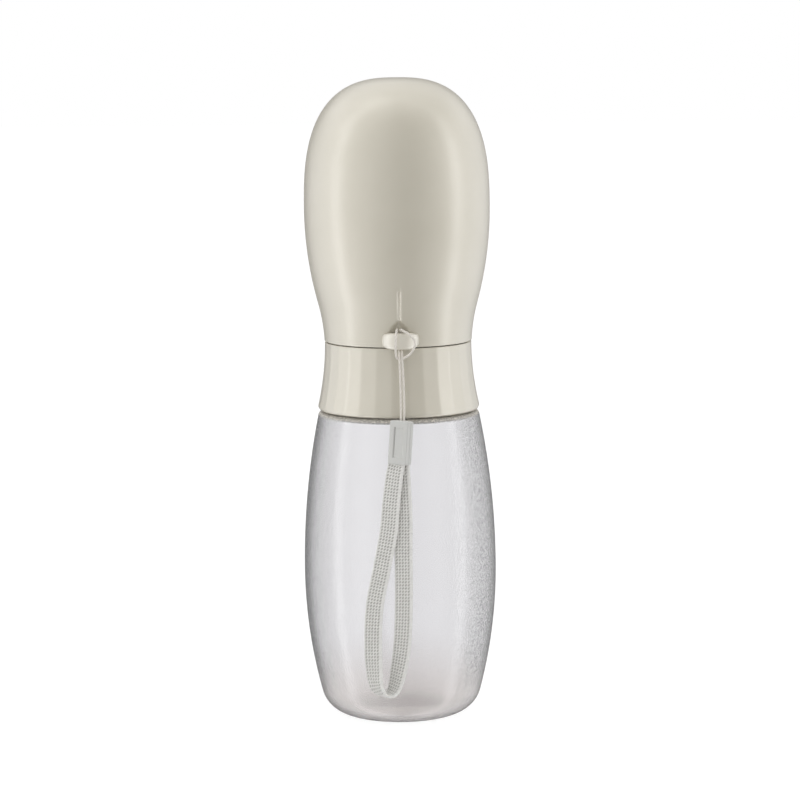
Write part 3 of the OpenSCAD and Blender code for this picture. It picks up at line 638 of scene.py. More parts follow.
def make_wrist_strap():
    """Flat braid: a band along the path whose faces rise by slanted stitches in five columns.

    With a the phase across a column and b the phase along the band, a face rises by
    0.5 - 0.25 cos a - 0.22 cos b - 0.28 cos(a - b), held between 0 and 1; at the back a is -a.
    """
    path = curve_through(STRAP_ROUTE * np.array([1 / MM, 1 / MM, 1 / MM, 1]), 60)
    line = path[:, :3]
    run = run_along(line)
    even = np.linspace(0, run[-1], int(run[-1] / STITCH_PITCH * ROWS_PER_STITCH))
    line = spaced(line, run, even)
    heading = np.radians(np.interp(even, run, path[:, 3]))
    ahead = tangents(line)
    wide = np.stack([np.cos(heading), np.sin(heading), 0 * heading], -1)
    wide = unit(wide - ahead * (wide * ahead).sum(1, keepdims=True))
    through = np.cross(wide, ahead)
    x, z, outward, column, on_face = strap_section(36, 4)
    side = np.where(z < 0, -1, 1)
    across, along = 2 * np.pi * (column - 0.5), 2 * np.pi * even[:, None] / STITCH_PITCH
    bead = 0.5 - 0.25 * np.cos(across) - 0.22 * np.cos(along) - 0.28 * np.cos(side * across - along)
    edge_rib = 0.75 + 0.15 * np.cos(2 * along)
    bead = np.where(on_face, np.clip(bead, 0, 1), edge_rib)
    lift = bead * STITCH_H
    ex = x[None, :] + lift * outward[None, :, 0]
    ez = z[None, :] + lift * outward[None, :, 1]
    rings = line[:, None] + ex[..., None] * wide[:, None] + ez[..., None] * through[:, None]
    # The crest attribute sets where the webbing's material paints shade into the dips between stitches.
    crest = np.concatenate([bead[:1], bead, bead[-1:]])
    made = piece("wrist_strap_braid", capped(rings), WEBBING, "lanyard", slot="webbing", crest=crest)
    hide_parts("wrist_strap")
    return made, line * MM


def block_loop(width, depth, corner, samples):
    """Rounded rectangle, evenly sampled: its side runs, joined by quarter circles."""
    half = np.array([width / 2 - corner, depth / 2 - corner])
    corners = np.array([(-1, -1), (1, -1), (1, 1), (-1, 1)]) * half
    arcs = []
    for start, centre in zip((180, 270, 0, 90), corners):
        t = np.radians(start + np.linspace(0, 90, 9))
        arcs.append(centre + corner * np.stack([np.cos(t), np.sin(t)], -1))
    loop = np.concatenate(arcs)
    closed = np.concatenate([loop, loop[:1]])
    run = run_along(closed)
    return spaced(closed, run, np.linspace(0, run[-1], samples, endpoint=False))


def rounded_block(width, depth, height, corner, edge, samples=160, rows=100, shoulder=1.0):
    """Block along Z: rounded loops that draw in by edge (1 - sin a) while they rise by edge (1 - cos a).

    At the top the width draws in shoulder times as far.
    """
    bend = np.radians(np.linspace(0, 90, 8))
    inset = edge * (1 - np.sin(bend))
    rise = edge * (1 - np.cos(bend))
    side = np.linspace(edge, height - edge, rows)[1:-1]
    z = np.concatenate([rise, side, height - rise[::-1]]) - height / 2
    inset = np.concatenate([inset, 0 * side, inset[::-1]])
    full = block_loop(width, depth, corner, samples)
    wider = np.where(z > 0, shoulder, 1.0)
    scale = 1 - 2 * inset[:, None] * np.stack([wider, 1 + 0 * wider], -1) / np.array([width, depth])
    loops = np.concatenate([full[None] * scale[:, None], np.repeat(z[:, None, None], samples, 1)], -1)
    lids = [loops[0] * (k, k, 1) for k in (0, 0.35, 0.7, 0.93)]
    tops = [loops[-1] * (k, k, 1) for k in (0.93, 0.7, 0.35, 0)]
    return np.concatenate([np.array(lids), loops, np.array(tops)])


def at_ferrule(grid):
    """The ferrule's own turn, lean and tip, then its place."""
    turn = Matrix.Rotation(np.radians(FERRULE_TURN), 3, "Z")
    lean = Matrix.Rotation(np.radians(FERRULE_LEAN), 3, "Y")
    tip = Matrix.Rotation(np.radians(-FERRULE_TIP), 3, "X")
    return grid @ np.array(lean @ tip @ turn).T + np.array(FERRULE_AT)


def window(x, z, left, right, half_h, soft):
    """1 inside an upright rectangle and 0 outside it, softened along its inner side."""
    sides = smooth_step(x, left, left + soft) * smooth_step(-x, -right, soft - right)
    return sides * smooth_step(-abs(z), -half_h, 0.2 - half_h)


def make_ferrule():
    """Two moulded halves that meet on a fine parting line; the front has an inset with a slot."""
    gap, corner, edge, inset_depth, slot_depth = 0.06, 0.55, 0.6, 0.3, 0.4
    half = FERRULE_T / 2
    front = rounded_block(FERRULE_W, half, FERRULE_H, corner, edge, shoulder=2.0)
    front[..., 1] -= half / 2
    x, y, z = front[..., 0], front[..., 1], front[..., 2]
    face = smooth_step(-y, half - 0.5, half - 0.1)
    inset = window(x, z, -1.8, 2.0, 5.5, 0.2)
    slot = window(x, z, -1.85, -1.32, 5.4, 0.13)
    front[..., 1] = y + face * (inset_depth * inset + slot_depth * slot)
    back = rounded_block(FERRULE_W, half - gap, FERRULE_H, corner, edge, shoulder=2.0)
    back[..., 1] += half / 2 + gap / 2
    halves = []
    for name, grid in (("front", front), ("back", back)):
        made = piece(f"ferrule_{name}_moulding", at_ferrule(grid), FERRULE, "lanyard", slot="ferrule")
        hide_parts(f"ferrule_{name}")
        halves.append(made)
    return halves


make_hitch_cord()
strap, strap_line = make_wrist_strap()
ferrule_halves = make_ferrule()

# ---------------------------------------------------------------- bottle


def side_radius(z):
    """Circular arc of the bottle's side, flatter above its widest ring than below it."""
    arc = np.where(z < BOTTLE_MID_Z, LOWER_ARC, UPPER_ARC)
    return BOTTLE_R - arc + np.sqrt(arc ** 2 - (z - BOTTLE_MID_Z) ** 2)


def arc_points(x, z, r, start, end, steps):
    t = np.radians(np.linspace(start, end, steps))
    return np.stack([x + r * np.cos(t), z + r * np.sin(t)], -1)


def side_points(low, high, steps, inset=0.0):
    z = np.linspace(low, high, steps)
    return np.stack([side_radius(z) - inset, z], -1)


def make_bottle():
    """Blown bottle: outside from the foot's dimple to the lip, then back down the inside.

    Its attributes: pebbled from just above the foot, frosted over the rounding of the shoulder and
    all above it, and thick at the foot.
    """
    tilt = np.degrees(np.arcsin((BOTTLE_MID_Z - FOOT_ROUND) / (LOWER_ARC - FOOT_ROUND)))
    foot_x = BOTTLE_R - LOWER_ARC + (LOWER_ARC - FOOT_ROUND) * np.cos(np.radians(tilt))
    side_z = FOOT_ROUND - FOOT_ROUND * np.sin(np.radians(tilt))
    edge_z = SHOULDER_Z - SHOULDER_ROUND
    edge_x = float(side_radius(edge_z)) - SHOULDER_ROUND
    t = np.linspace(0, 1, 14)
    dish = np.stack([foot_x * t, FOOT_DIMPLE * (1 - smooth_step(t, 0.15, 0.8))], -1)
    outer = np.concatenate([
        dish[:-1], arc_points(foot_x, FOOT_ROUND, FOOT_ROUND, -90, -tilt, 24),
        side_points(side_z, edge_z, 70)[1:],
        arc_points(edge_x, edge_z, SHOULDER_ROUND, 15, 90, 10),
        [[NECK_R + 1, SHOULDER_Z], [NECK_R + 0.3, SHOULDER_Z + 0.3], [NECK_R, SHOULDER_Z + 1]],
        [[NECK_R, LIP_Z - 0.4], [NECK_R - 0.4, LIP_Z]]])
    neck_in = NECK_R - NECK_WALL
    inner = np.concatenate([
        [[neck_in + 0.4, LIP_Z], [neck_in, LIP_Z - 0.4], [neck_in, SHOULDER_Z - 1],
         [neck_in + 0.6, SHOULDER_Z - BOTTLE_WALL]],
        arc_points(edge_x, edge_z, SHOULDER_ROUND - BOTTLE_WALL + 0.2, 90, 15, 5),
        side_points(edge_z - 1.4, side_z, 70, BOTTLE_WALL)[1:],
        arc_points(foot_x, FOOT_ROUND, FOOT_ROUND - BOTTLE_WALL, -tilt, -90, 24)[1:],
        (dish + (0, BOTTLE_WALL))[::-1][1:]])
    profile = np.concatenate([outer, inner])
    z = profile[:, 1]
    outside = np.arange(len(profile)) < len(outer)
    pebbled = smooth_step(z, 7, 20) * outside
    frosted = smooth_step(z, SHOULDER_Z - 1.5, SHOULDER_Z - 0.9) * outside
    made = piece("bottle_wall", revolved(profile, 256), CLEAR, "bottle", slot="clear_bottle",
                 pebbled=pebbled[:, None], frosted=frosted[:, None], thick=smooth_step(-z, -26, -4)[:, None])
    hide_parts("bottle")
    return sharpen(made, 35)


def thread_ridge(name, wall_r, crest_r, start_z, material, body, slot):
    """Helical ridge: a trapezium carried up the helix, its crest fading in and out at the ends."""
    turns = np.linspace(0, THREAD_TURNS, int(THREAD_TURNS * 120))
    lift = np.clip(np.minimum(turns, THREAD_TURNS - turns) * 12, 0.05, 1)
    out = np.sign(crest_r - wall_r)
    root, crest = wall_r - 0.3 * out, wall_r + (crest_r - wall_r) * lift
    base, tip = THREAD_BASE / 2, THREAD_CREST / 2
    r = np.stack([root + 0 * lift, root + 0 * lift + 0.3 * out, crest - 0.15 * out * lift, crest, crest,
                  crest - 0.15 * out * lift, root + 0 * lift + 0.3 * out, root + 0 * lift], -1)
    z = np.array([-base, -base, -tip - 0.06, -tip + 0.12, tip - 0.12, tip + 0.06, base, base])
    angle = 2 * np.pi * turns[:, None]
    rise = start_z + THREAD_PITCH * turns[:, None] + z[None, :]
    return piece(name, capped(polar(r, angle, rise)), material, body, slot=slot)


make_bottle()
thread_ridge("bottle_thread", NECK_R, NECK_R + THREAD_DEPTH, THREAD_Z, CLEAR, "bottle", "clear_bottle")

# ---------------------------------------------------------------- collar


def make_collar():
    """Union collar: flat facets on a hollow flare, r = a / cos t, eased where two meet."""
    low, top = COLLAR_ROUND, COLLAR_TOP_ROUND
    z = np.concatenate([COLLAR_LOW + low * (1 - np.cos(np.radians(np.linspace(0, 90, 10)))),
                        np.linspace(COLLAR_LOW + low, COLLAR_TOP - top, 36)[1:],
                        COLLAR_TOP - top + top * np.sin(np.radians(np.linspace(0, 90, 6)))[1:]])
    flare = WAIST_R + (COLLAR_TOP - z) ** 2 / (2 * COLLAR_ARC)
    below = np.clip(low - (z - COLLAR_LOW), 0, low)
    above = np.clip(z - (COLLAR_TOP - top), 0, top)
    flare -= low - np.sqrt(low ** 2 - below ** 2)
    flare -= top - np.sqrt(top ** 2 - above ** 2)
    inside = np.array([(COLLAR_LIP_R, COLLAR_TOP), (COLLAR_LIP_R, COLLAR_TOP - COLLAR_LIP),
                       (COLLAR_BORE, COLLAR_TOP - COLLAR_LIP), (COLLAR_BORE, COLLAR_LOW + 0.4),
                       (COLLAR_BORE + 0.4, COLLAR_LOW)])
    r = np.concatenate([flare, inside[:, 0]])
    z = np.concatenate([z, inside[:, 1]])
    faceted = np.concatenate([np.ones(len(flare)), np.zeros(len(inside))])
    turn = full_turn(FACETS * 12)
    half = np.pi / FACETS
    off = (turn - np.radians(FACET_TURN) + np.pi / 2 + half) % (2 * half) - half
    flat = np.cos(half) / np.cos(off)
    eased = -np.logaddexp(-flat * FACET_EASE, -FACET_CUT * FACET_EASE) / FACET_EASE
    shape = 1 + faceted[:, None] * (eased - 1)[None, :]
    grid = polar(r[:, None] * shape, turn, z[:, None])
    made = piece("collar_facets", grid, PEARL, "collar", close_rows=True, slot="pearl_shell")
    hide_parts("collar")
    sharpen(made, 40)
    thread_ridge("collar_thread", COLLAR_BORE, NECK_R + 0.35, THREAD_Z + THREAD_PITCH / 2, PEARL, "collar",
                 "pearl_shell")


make_collar()

# ---------------------------------------------------------------- head


def head_radius(z):
    """Superellipse above the widest ring, a parabola below it, and the waist's own at the foot."""
    up = np.clip((z - HEAD_MID_Z) / DOME_H, 0, 1)
    dome = HEAD_R * (1 - up ** DOME_POWER) ** (1 / DOME_POWER)
    belly = HEAD_R - (HEAD_MID_Z - z) ** 2 / (2 * BELLY_ARC)
    flare = WAIST_R + (z - WAIST_LOW) ** 2 / (2 * WAIST_ARC)
    return np.where(z > HEAD_MID_Z, dome, np.where(z > JOIN_Z, belly, flare))


def head_normals(points):
    """Gradient of the superellipsoid above the widest ring, and of r - radius(z) below it."""
    x, y, z = np.moveaxis(points, -1, 0)
    r = np.maximum(np.hypot(x, y), 1e-6)
    up = np.clip((z - HEAD_MID_Z) / DOME_H, 0, 1)
    slope = (head_radius(z + 0.01) - head_radius(z - 0.01)) / 0.02
    around = np.where(z > HEAD_MID_Z, (r / HEAD_R) ** (DOME_POWER - 1) / HEAD_R, 1.0) / r
    rise = np.where(z > HEAD_MID_Z, up ** (DOME_POWER - 1) / DOME_H, -slope)
    return unit(np.stack([x * around, y * around, rise], -1))


def on_head(direction):
    """The point where a ray from the head's middle meets its outside, found by halving."""
    near = np.zeros(direction.shape[:-1])
    far = near + 90.0
    for _ in range(40):
        middle = (near + far) / 2
        point = direction * middle[..., None]
        outside = np.hypot(point[..., 0], point[..., 1]) >= head_radius(point[..., 2] + HEAD_MID_Z)
        near, far = np.where(outside, near, middle), np.where(outside, middle, far)
    return direction * near[..., None] + np.array([0, 0, HEAD_MID_Z])


def rim_half(wall, count):
    """The mouth's rim from the lip up one side to the top: where the head meets a cylinder along X."""
    lip_y = float(head_radius(LIP_LOW))
    dy, dz = RIM_TOP_Y - lip_y, HEAD_TOP_Z - LIP_LOW
    chord = np.hypot(dy, dz)
    r = (chord ** 2 / 4 + RIM_SAG ** 2) / (2 * RIM_SAG)
    cy = (lip_y + RIM_TOP_Y) / 2 + dz / chord * (r - RIM_SAG)
    cz = (LIP_LOW + HEAD_TOP_Z) / 2 - dy / chord * (r - RIM_SAG)
    z = (LIP_LOW + HEAD_TOP_Z) / 2 - (HEAD_TOP_Z - LIP_LOW + 8) / 2 * np.cos(np.linspace(0, np.pi, 6001))
    y = cy - np.sqrt((r + wall / 2) ** 2 - (z - cz) ** 2)
    square = head_radius(z) ** 2 - y ** 2
    keep = (square >= 0) & (z < HEAD_TOP_Z)
    line = np.stack([np.sqrt(np.maximum(square, 0)), y, z], -1)[keep]
    line[[0, -1], 0] = 0
    run = run_along(line)
    return spaced(line, run, np.linspace(0, run[-1], count))


def panel_lift(x, z, radius, inset):
    """The control panel stands out to its own radius inside a rounded outline, with a soft edge."""
    half_w, half_h, corner = PANEL_W / 2 - inset, PANEL_H / 2 - inset, PANEL_ROUND - inset
    qx, qz = abs(x) - half_w + corner, abs(z - BUTTON_Z) - half_h + corner
    outside = np.hypot(np.maximum(qx, 0), np.maximum(qz, 0)) + np.minimum(np.maximum(qx, qz), 0) - corner
    return np.maximum(PANEL_Y - inset - radius, 0) * smooth_step(-outside, -0.2, 0.9)


def panelled(angle, z, radius, inset):
    """Radius with the panel raised on the front, worked out where the surface will stand."""
    x = PANEL_Y * np.cos(angle)
    return radius + np.where(np.sin(angle) > 0, panel_lift(x, z, radius, inset), 0)


def sink_recess(low):
    """Sinks the hollow behind the lug's bridge, where the cord passes, into the head's lower part.

    It is cut back to bend behind LUG_Y. Below the bridge's middle bend closes like a power of
    1 - (up / RECESS_HALF)^2. Above it bend is a circle's, or that of a roof line if it is deeper.
    The roof line falls only ROOF_FALL to a millimetre, so the recess narrows but doesn't close
    where the head leans back: a thin upright groove runs on above it.
    """
    z = low[..., 2]
    up = z - LUG_Z
    bend = RECESS_R * np.clip(1 - (up / RECESS_HALF) ** 2, 0, None) ** 1.2
    round_roof = np.sqrt(np.clip((RECESS_R - 0.2) ** 2 - up ** 2, 0, None))
    deep = np.minimum(np.maximum(round_roof, ROOF_DEPTH - ROOF_FALL * (up - ROOF_UP)), RECESS_R)
    dent = DENT_DEPTH * (1 - smooth_step(up, 2.5, 8.5)) - head_radius(z) - LUG_Y
    bend = np.where(up > 0, np.maximum(deep, dent), bend)
    narrow = smooth_step(up, 0.8, 2.8)
    reach = RECESS_W / 2 - 2.0 * narrow - 2.6 * smooth_step(up, 2.8, 7.5)
    in_recess = smooth_step(reach - abs(low[..., 0] - RECESS_X), -0.4 - narrow, 0.8 + 0.2 * narrow)
    in_recess = in_recess * (low[..., 1] < 0) * (bend > 0)
    low[..., 1] += in_recess * np.maximum(LUG_Y + bend - low[..., 1], 0)


def sweep_up(edge, rim, rows):
    """Climbs the head from an edge to the rim along great circles about its middle."""
    centre = np.array([0, 0, HEAD_MID_Z])
    start = unit(edge - centre)
    end = unit(rim - centre)
    wide = np.arccos(np.clip((start * end).sum(-1), -1, 1))[:, None]
    t = np.linspace(0, 1, rows + 1)[1:, None, None]
    return on_head(unit((np.sin((1 - t) * wide) * start + np.sin(t * wide) * end) / np.sin(wide)))


def roll_rim(high, normals, rows):
    """A half circle of the wall's thickness that closes the rim."""
    along = np.roll(high[-1], -1, 0) - np.roll(high[-1], 1, 0)
    forward = unit(np.cross(along, normals[-1]))
    forward *= np.sign((forward * (high[-1] - high[-2])).sum(-1, keepdims=True))
    middle = high[-1] - normals[-1] * HEAD_WALL / 2
    turn = np.radians(np.linspace(0, 180, rows + 2)[1:-1])[:, None, None]
    return middle + HEAD_WALL / 2 * (np.cos(turn) * normals[-1] + np.sin(turn) * forward)


def make_head_skin():
    """Scoop head: columns climb from the waist to the mouth's rim, roll over it and go down inside."""
    columns, low_rows, high_rows, rim_rows = 320, 64, 84, 9
    u = full_turn(columns, -np.pi / 2)
    angle = u + 0.3 * np.sin(2 * u)
    z = np.linspace(WAIST_Z + 0.3, FLOOR_Z + 0.1, low_rows)[:, None] + 0 * angle
    low = polar(panelled(angle, z, head_radius(z), 0), angle, z)
    sink_recess(low)

    half = rim_half(HEAD_WALL, columns // 2 + 1)
    left = half[::-1] * (-1, 1, 1)
    rim = np.concatenate([half[::-1][:-1], left[::-1][:-1]])
    high = sweep_up(low[-1], rim, high_rows)
    normals = head_normals(high)
    inner = (high - HEAD_WALL * normals)[::-1]

    wall_z = np.linspace(FLOOR_Z - LEDGE_T - LEDGE_W, PLATE_TOP, 30)[:, None] + 0 * angle
    wall_r = panelled(angle, wall_z, head_radius(wall_z) - HEAD_WALL, PANEL_WALL)
    inner_r = float(head_radius(FLOOR_Z)) - HEAD_WALL
    ledge_in = inner_r - LEDGE_W
    rings_r = [inner_r, ledge_in, ledge_in, *wall_r, PLATE_BORE, PLATE_BORE, WAIST_R - 1, WAIST_R - 0.3]
    rings_z = [FLOOR_Z, FLOOR_Z, FLOOR_Z - LEDGE_T, *wall_z, PLATE_TOP, WAIST_Z, WAIST_Z, WAIST_Z]
    below = np.array([polar(r, angle, z) for r, z in zip(rings_r, rings_z)])
    edge = low[0] * (1 - 0.1 / WAIST_R, 1 - 0.1 / WAIST_R, 1) - (0, 0, 0.2)
    grid = np.concatenate([low, high, roll_rim(high, normals, rim_rows), inner, below, edge[None]])
    return piece("head_skin", grid, PEARL, "head", close_rows=True, slot="pearl_shell")


def cutter(name, grid):
    made = piece(name, grid, PEARL, "head")
    made.hide_render = True
    return made


def cut_holes(skin):
    """Bores the button's hole and the lock's stepped slot through the head's front wall."""
    steps = 96
    bore = np.array([(0, BUTTON_BACK - 4), (BEZEL_R, BUTTON_BACK - 4), (BEZEL_R, 40), (0, 40)])
    tools = [cutter("bore", facing_out(revolved(bore, steps), 0, 0, BUTTON_Z))]
    slot_w, slot_h = LOCK_W + 2 * PLAY, LOCK_H + LOCK_TRAVEL + 2 * PLAY
    openings = (("slot", slot_w - 1.2, slot_h - 2.4, 12), ("pocket", slot_w, slot_h, 1))
    for name, width, height, depth in openings:
        block = rounded_block(width, height, 14, 0.6, 0.01, 48, 3)
        tools.append(cutter(name, facing_out(block, 0, PANEL_Y - depth + 7, BUTTON_Z, LOCK_TURN)))
    for tool in tools:
        modifier = skin.modifiers.new(tool.name, "BOOLEAN")
        modifier.object = tool
        modifier.solver = "EXACT"
    shaped = bpy.data.meshes.new_from_object(skin.evaluated_get(bpy.context.evaluated_depsgraph_get()))
    skin.modifiers.clear()
    skin.data = shaped
    for tool in tools:
        bpy.data.objects.remove(tool)


def squared(value):
    """A superellipse's coordinate from a cosine or a sine: sign(c) |c|^0.75."""
    return np.sign(value) * abs(value) ** 0.75


def make_lug():
    """Bridge of the lug: a soft pill section along an arc that leaves the head, crosses and returns.

    The arc is y = a + arch (x / span)^2.3 in front; the section is a superellipse, thinner at its feet.
    """
    reach, span, arch = LUG_W / 2, 4.7, 2.2
    front = np.linspace(-span, span, 13)
    arc = np.stack([front, LUG_Y + 0.02 + arch * abs(front / span) ** 2.3], -1)
    ends = np.array([(reach - 1.45, LUG_Y + 3.1), (reach - 1.35, LUG_Y + 4.0), (reach - 1.35, LUG_Y + 5.0)])
    path = np.concatenate([ends[::-1] * (-1, 1), arc, ends])
    line = curve_through(np.concatenate([path + (LUG_SHIFT, 0), 0 * path[:, :1] + LUG_Z - LUG_DROP], 1), 8)
    ahead = tangents(line)
    out = np.stack([ahead[:, 1], -ahead[:, 0], 0 * ahead[:, 0]], -1)
    angle = full_turn(48)
    across = squared(np.cos(angle))
    upward = squared(np.sin(angle))
    foot = smooth_step(line[:, 1], LUG_Y + 0.8, LUG_Y + 3.4)
    depth = LUG_D / 2 - 0.3 * foot
    height = LUG_H / 2 - 0.5 * foot
    rings = (line[:, None] + (depth[:, None] * across)[..., None] * out[:, None]
             + (height[:, None] * upward)[..., None] * np.array([0, 0, 1]))
    # The bridge takes the lighter pearl, which is painted light.
    return piece("lug_bridge", capped(rings), PEARL_PAINTED_LIGHTER, "head", slot="pearl_shell")


head_skin = make_head_skin()
cut_holes(head_skin)
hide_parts("head_shell")
sharpen(head_skin, 40)
make_lug()

# ---------------------------------------------------------------- button, bezel and lock


def turned_part(name, outline, body, node, closed=True):
    """An outline (r, y) turned about the button's line, along +Y; an open one ends on that line."""
    grid = facing_out(revolved(outline, 128), 0, 0, BUTTON_Z)
    made = piece(name, grid, TRIM, body, close_rows=closed, slot="trim")
    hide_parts(node)
    sharpen(made, 50)


def make_button():
    """Dished cap with a soft edge and two fine grip rings; the dish is y = d (r / R)^2."""
    dish, edge, ring_h, ring_w = 0.6, 5.4, 0.12, 0.22
    r = np.linspace(edge, 0, 40)
    rings = ring_h * (bell(r, 2.4, ring_w) + bell(r, 3.9, ring_w))
    face = np.stack([r, BUTTON_Y - dish + dish * (r / edge) ** 2 + rings], -1)
    skirt = BUTTON_R + 0.95
    rim = filleted([(skirt, BUTTON_BACK), (skirt, BUTTON_BACK + 1), (BUTTON_R, BUTTON_BACK + 1),
                    (BUTTON_R, BUTTON_Y - 0.1), (edge, BUTTON_Y)], (0.2, 0.2, 0.1, 0.8, 0))
    outline = np.concatenate([[(0, BUTTON_BACK)], rim, face])
    turned_part("button_cap", outline, "button", "push_button", closed=False)


def make_bezel():
    """Ring round the button, its rim rolled and its skirt sunk into the curved panel."""
    inner, skirt, flange = BUTTON_R + PLAY, BEZEL_R - 0.05, BEZEL_R + 1
    back, ledge, front = 26.81, 28.3, PANEL_Y + 0.8
    outline = filleted([(inner, back), (skirt, back), (skirt, ledge), (flange, ledge), (flange, front),
                        (inner, front)], (0.1, 0.1, 0.1, 0.3, 0.7, 0.5), 6)
    turned_part("bezel_ring", outline, "head", "button_bezel")


def make_lock():
    """Slider: a soft block with three grip ribs, and its narrow foot behind it."""
    depth, rib_pitch, rib_w, rib_h = 2.2, 1.4, 0.3, 0.4
    head = rounded_block(LOCK_W, LOCK_H, depth, 0.7, 0.35, 120, 12)
    rib = sum(bell(head[..., 1], k * rib_pitch, rib_w) for k in (-1, 0, 1))
    top = smooth_step(head[..., 2], depth / 2 - 0.2, depth / 2) * smooth_step(-abs(head[..., 0]), -1.7, -1.4)
    head[..., 2] += rib_h * rib * top
    thumb = facing_out(head, 0, PANEL_Y - 0.9 + depth / 2, LOCK_Z, LOCK_TURN)
    made = piece("lock_thumb", thumb, TRIM, "lock", slot="trim")
    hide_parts("lock_slider")
    foot = rounded_block(LOCK_W - 1.2 - PLAY, LOCK_H - 2.4, 2.9, 0.3, 0.1, 60, 4)
    foot = facing_out(foot, 0, PANEL_Y - 3.6 + 1.45, LOCK_Z, LOCK_TURN)
    piece("lock_foot", foot, TRIM, "lock", slot="trim")


make_button()
make_bezel()
make_lock()

# ---------------------------------------------------------------- pieces that keep their solids' shape

FINISHES = {
    PEARL: ["trough_floor"],
    TRIM: ["head_base", "outlet_grille", "button_rod"],
    INNER: ["valve_housing", "valve_stem"],
    SILICONE: ["neck_gasket", "floor_seal", "valve_seal"],
    RUBBER: ["rod_seal"],
    STEEL: ["base_screw_1", "base_screw_2", "base_screw_3", "stem_pin", "valve_spring", "rod_clip",
            "button_spring", "lock_clip"],
}
for finish, names in FINISHES.items():
    for name in names:
        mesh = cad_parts[name].data
        mesh.materials.clear()
        mesh.materials.append(finish)

# ---------------------------------------------------------------- floor, world and lamps


def seen_rays(tree):
    """1 for the rays that look at the background: the camera's, those off gloss and through glass."""
    path = add(tree, "ShaderNodeLightPath")
    gloss = math_node(tree, "MAXIMUM", path.outputs["Is Glossy Ray"], path.outputs["Is Transmission Ray"])
    return path, math_node(tree, "MAXIMUM", path.outputs["Is Camera Ray"], gloss)


def make_floor():
    """Wide pale floor: white where it is looked at, yet darker where the bottle shades it.

    Gloss looks through it, so the lamps are mirrored in the lower half of a round piece too.
    """
    material = bpy.data.materials.new("floor")
    material.use_nodes = True
    tree = material.node_tree
    tree.nodes.clear()
    path, seen = seen_rays(tree)
    plain = add(tree, "ShaderNodeBsdfDiffuse", {"Color": (0.8, 0.8, 0.8, 1)})
    thin = add(tree, "ShaderNodeBsdfDiffuse", {"Color": (0.16, 0.16, 0.16, 1)})
    place = add(tree, "ShaderNodeTexCoord").outputs["Object"]
    x = add(tree, "ShaderNodeSeparateXYZ", {0: place}).outputs["X"]
    lit = ramp(tree, math_node(tree, "ABSOLUTE", x), BACKDROP_X, BACKDROP_X + 0.5, 1.0, SIDE_GREY)
    lit = math_node(tree, "MAXIMUM", lit, path.outputs["Is Camera Ray"])
    glow = add(tree, "ShaderNodeEmission", {"Color": (1, 1, 1, 1), "Strength": times(tree, lit, FLOOR_GLOW)})
    looked = add(tree, "ShaderNodeAddShader", {0: thin.outputs[0], 1: glow.outputs[0]})
    mixed = add(tree, "ShaderNodeMixShader", {0: seen, 1: plain.outputs[0], 2: looked.outputs[0]})
    clear = add(tree, "ShaderNodeBsdfTransparent")
    through = add(tree, "ShaderNodeMixShader",
                  {0: path.outputs["Is Glossy Ray"], 1: mixed.outputs[0], 2: clear.outputs[0]})
    add(tree, "ShaderNodeOutputMaterial", {"Surface": through.outputs[0]})
    half = 8.0
    corners = [(-half, -half, 0), (half, -half, 0), (half, half, 0), (-half, half, 0)]
    mesh = bpy.data.meshes.new("floor")
    mesh.from_pydata(corners, [], [(0, 1, 2, 3)])
    mesh.materials.append(material)
    floor = new_object("floor", mesh)


BACKDROP_X = 0.45
FLOOR_GLOW = 0.93
SIDE_GREY = 0.22
FILL = 0.85
OVERHEAD = 1.2
REAR = 1.0
GLASS_LIMIT = 1.5
NO_LIMIT = 9.0
# Each wall's side, the angles where its light starts, peaks and ends, its level, and the heights
# between which it dims, with the share that is left.
WALLS = ((-1.0, (-20, 72, 88, 158), 2.7, (0.5, 0.95), 0.6),
         (1.0, (12, 82, 96, 172), 2.2, (0.4, 0.9), 0.25))
STRIP_SPREAD = (70, 77, 83, 90)
STRIP = 3.0


def hump(tree, angle, spread, level):
    """Rises softly from 0 at the first angle to its level between the next two; degrees."""
    start, peak_low, peak_high, end = spread
    slopes = []
    for foot, peak in ((start, peak_low), (end, peak_high)):
        inputs = {"Value": angle, "From Min": np.radians(foot), "From Max": np.radians(peak)}
        made = add(tree, "ShaderNodeMapRange", inputs, interpolation_type="SMOOTHSTEP")
        slopes.append(made.outputs["Result"])
    return times(tree, times(tree, *slopes), level)


def gloss_light(tree, parts):
    """What gloss mirrors: a soft wall with a bright strip on each side, and lights above and behind."""
    forward = times(tree, parts["Y"], -1.0)
    walls = []
    for side, spread, level, (dim_low, dim_high), left_over in WALLS:
        angle = math_node(tree, "ARCTAN2", times(tree, parts["X"], side), forward)
        wall = plus(tree, hump(tree, angle, spread, level), hump(tree, angle, STRIP_SPREAD, STRIP))
        walls.append(times(tree, wall, ramp(tree, parts["Z"], dim_low, dim_high, 1.0, left_over)))
    overhead = ramp(tree, parts["Z"], 0.75, 1.0, 0.0, OVERHEAD)
    rear = times(tree, ramp(tree, parts["Z"], 0.3, 0.65), ramp(tree, parts["Y"], 0.1, 0.55, 0.0, REAR))
    rear = times(tree, rear, ramp(tree, parts["X"], -0.3, 0.3, 1.0, 0.6))
    return plus(tree, plus(tree, plus(tree, *walls), overhead), plus(tree, rear, SIDE_GREY))


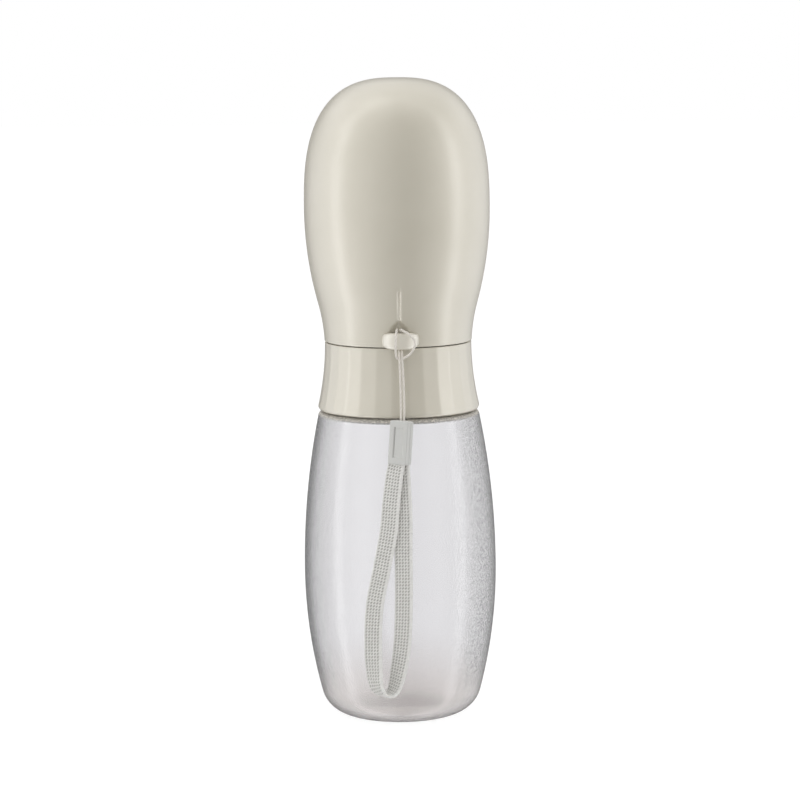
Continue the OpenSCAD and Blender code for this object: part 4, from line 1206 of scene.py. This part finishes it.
def glass_light(tree, parts):
    """What is seen through glass: white behind it and before it, grey to its sides."""
    grey = ramp(tree, parts["X"], -0.5, 0.5, SIDE_GREY + 0.12, SIDE_GREY - 0.08)
    side = ramp(tree, math_node(tree, "ABSOLUTE", parts["X"]), 0.3, 0.62, 1.0, grey)
    behind = ramp(tree, parts["Y"], -0.2, 0.3, SIDE_GREY, 1.0)
    before = ramp(tree, parts["Y"], -0.97, -0.85, 0.9, 0.0)
    return math_node(tree, "MINIMUM", side, math_node(tree, "MAXIMUM", behind, before))


def make_world():
    """A studio: an even fill for diffuse light, white for the camera, and lights for gloss and glass.

    Angles run from the camera's side round to the backdrop. A rough ray through glass counts as
    gloss too, so what it mirrors is held to GLASS_LIMIT.
    """
    world = bpy.data.worlds.new("studio")
    bpy.context.scene.world = world
    world.use_nodes = True
    tree = world.node_tree
    path, seen = seen_rays(tree)
    direction = add(tree, "ShaderNodeTexCoord").outputs["Generated"]
    parts = add(tree, "ShaderNodeSeparateXYZ", {0: direction}).outputs
    through = times(tree, glass_light(tree, parts), path.outputs["Is Transmission Ray"])
    limit = ramp(tree, path.outputs["Is Transmission Ray"], 0.0, 1.0, NO_LIMIT, GLASS_LIMIT)
    held = math_node(tree, "MINIMUM", gloss_light(tree, parts), limit)
    mirrored = times(tree, held, path.outputs["Is Glossy Ray"])
    looked = math_node(tree, "MAXIMUM", through, mirrored)
    looked = math_node(tree, "MAXIMUM", path.outputs["Is Camera Ray"], looked)
    filled = times(tree, math_node(tree, "SUBTRACT", 1.0, seen), FILL)
    background = tree.nodes["Background"]
    background.inputs["Color"].default_value = (1, 1, 1, 1)
    tree.links.new(plus(tree, looked, filled), background.inputs["Strength"])


def make_top_box():
    """A square soft box over the bottle, of even radiance, that gloss and glass don't see."""
    width, height, level = 0.9, 1.2, 1.0
    data = bpy.data.lights.new("top box", "AREA")
    data.shape = "SQUARE"
    data.size = width
    data.energy = level * np.pi * width * width
    lamp = new_object("top box", data)
    lamp.location = (0, 0, height)
    lamp.visible_transmission = False
    lamp.visible_glossy = False


make_floor()
make_world()
make_top_box()

scene_view = bpy.context.scene.view_settings
scene_view.view_transform = "Standard"
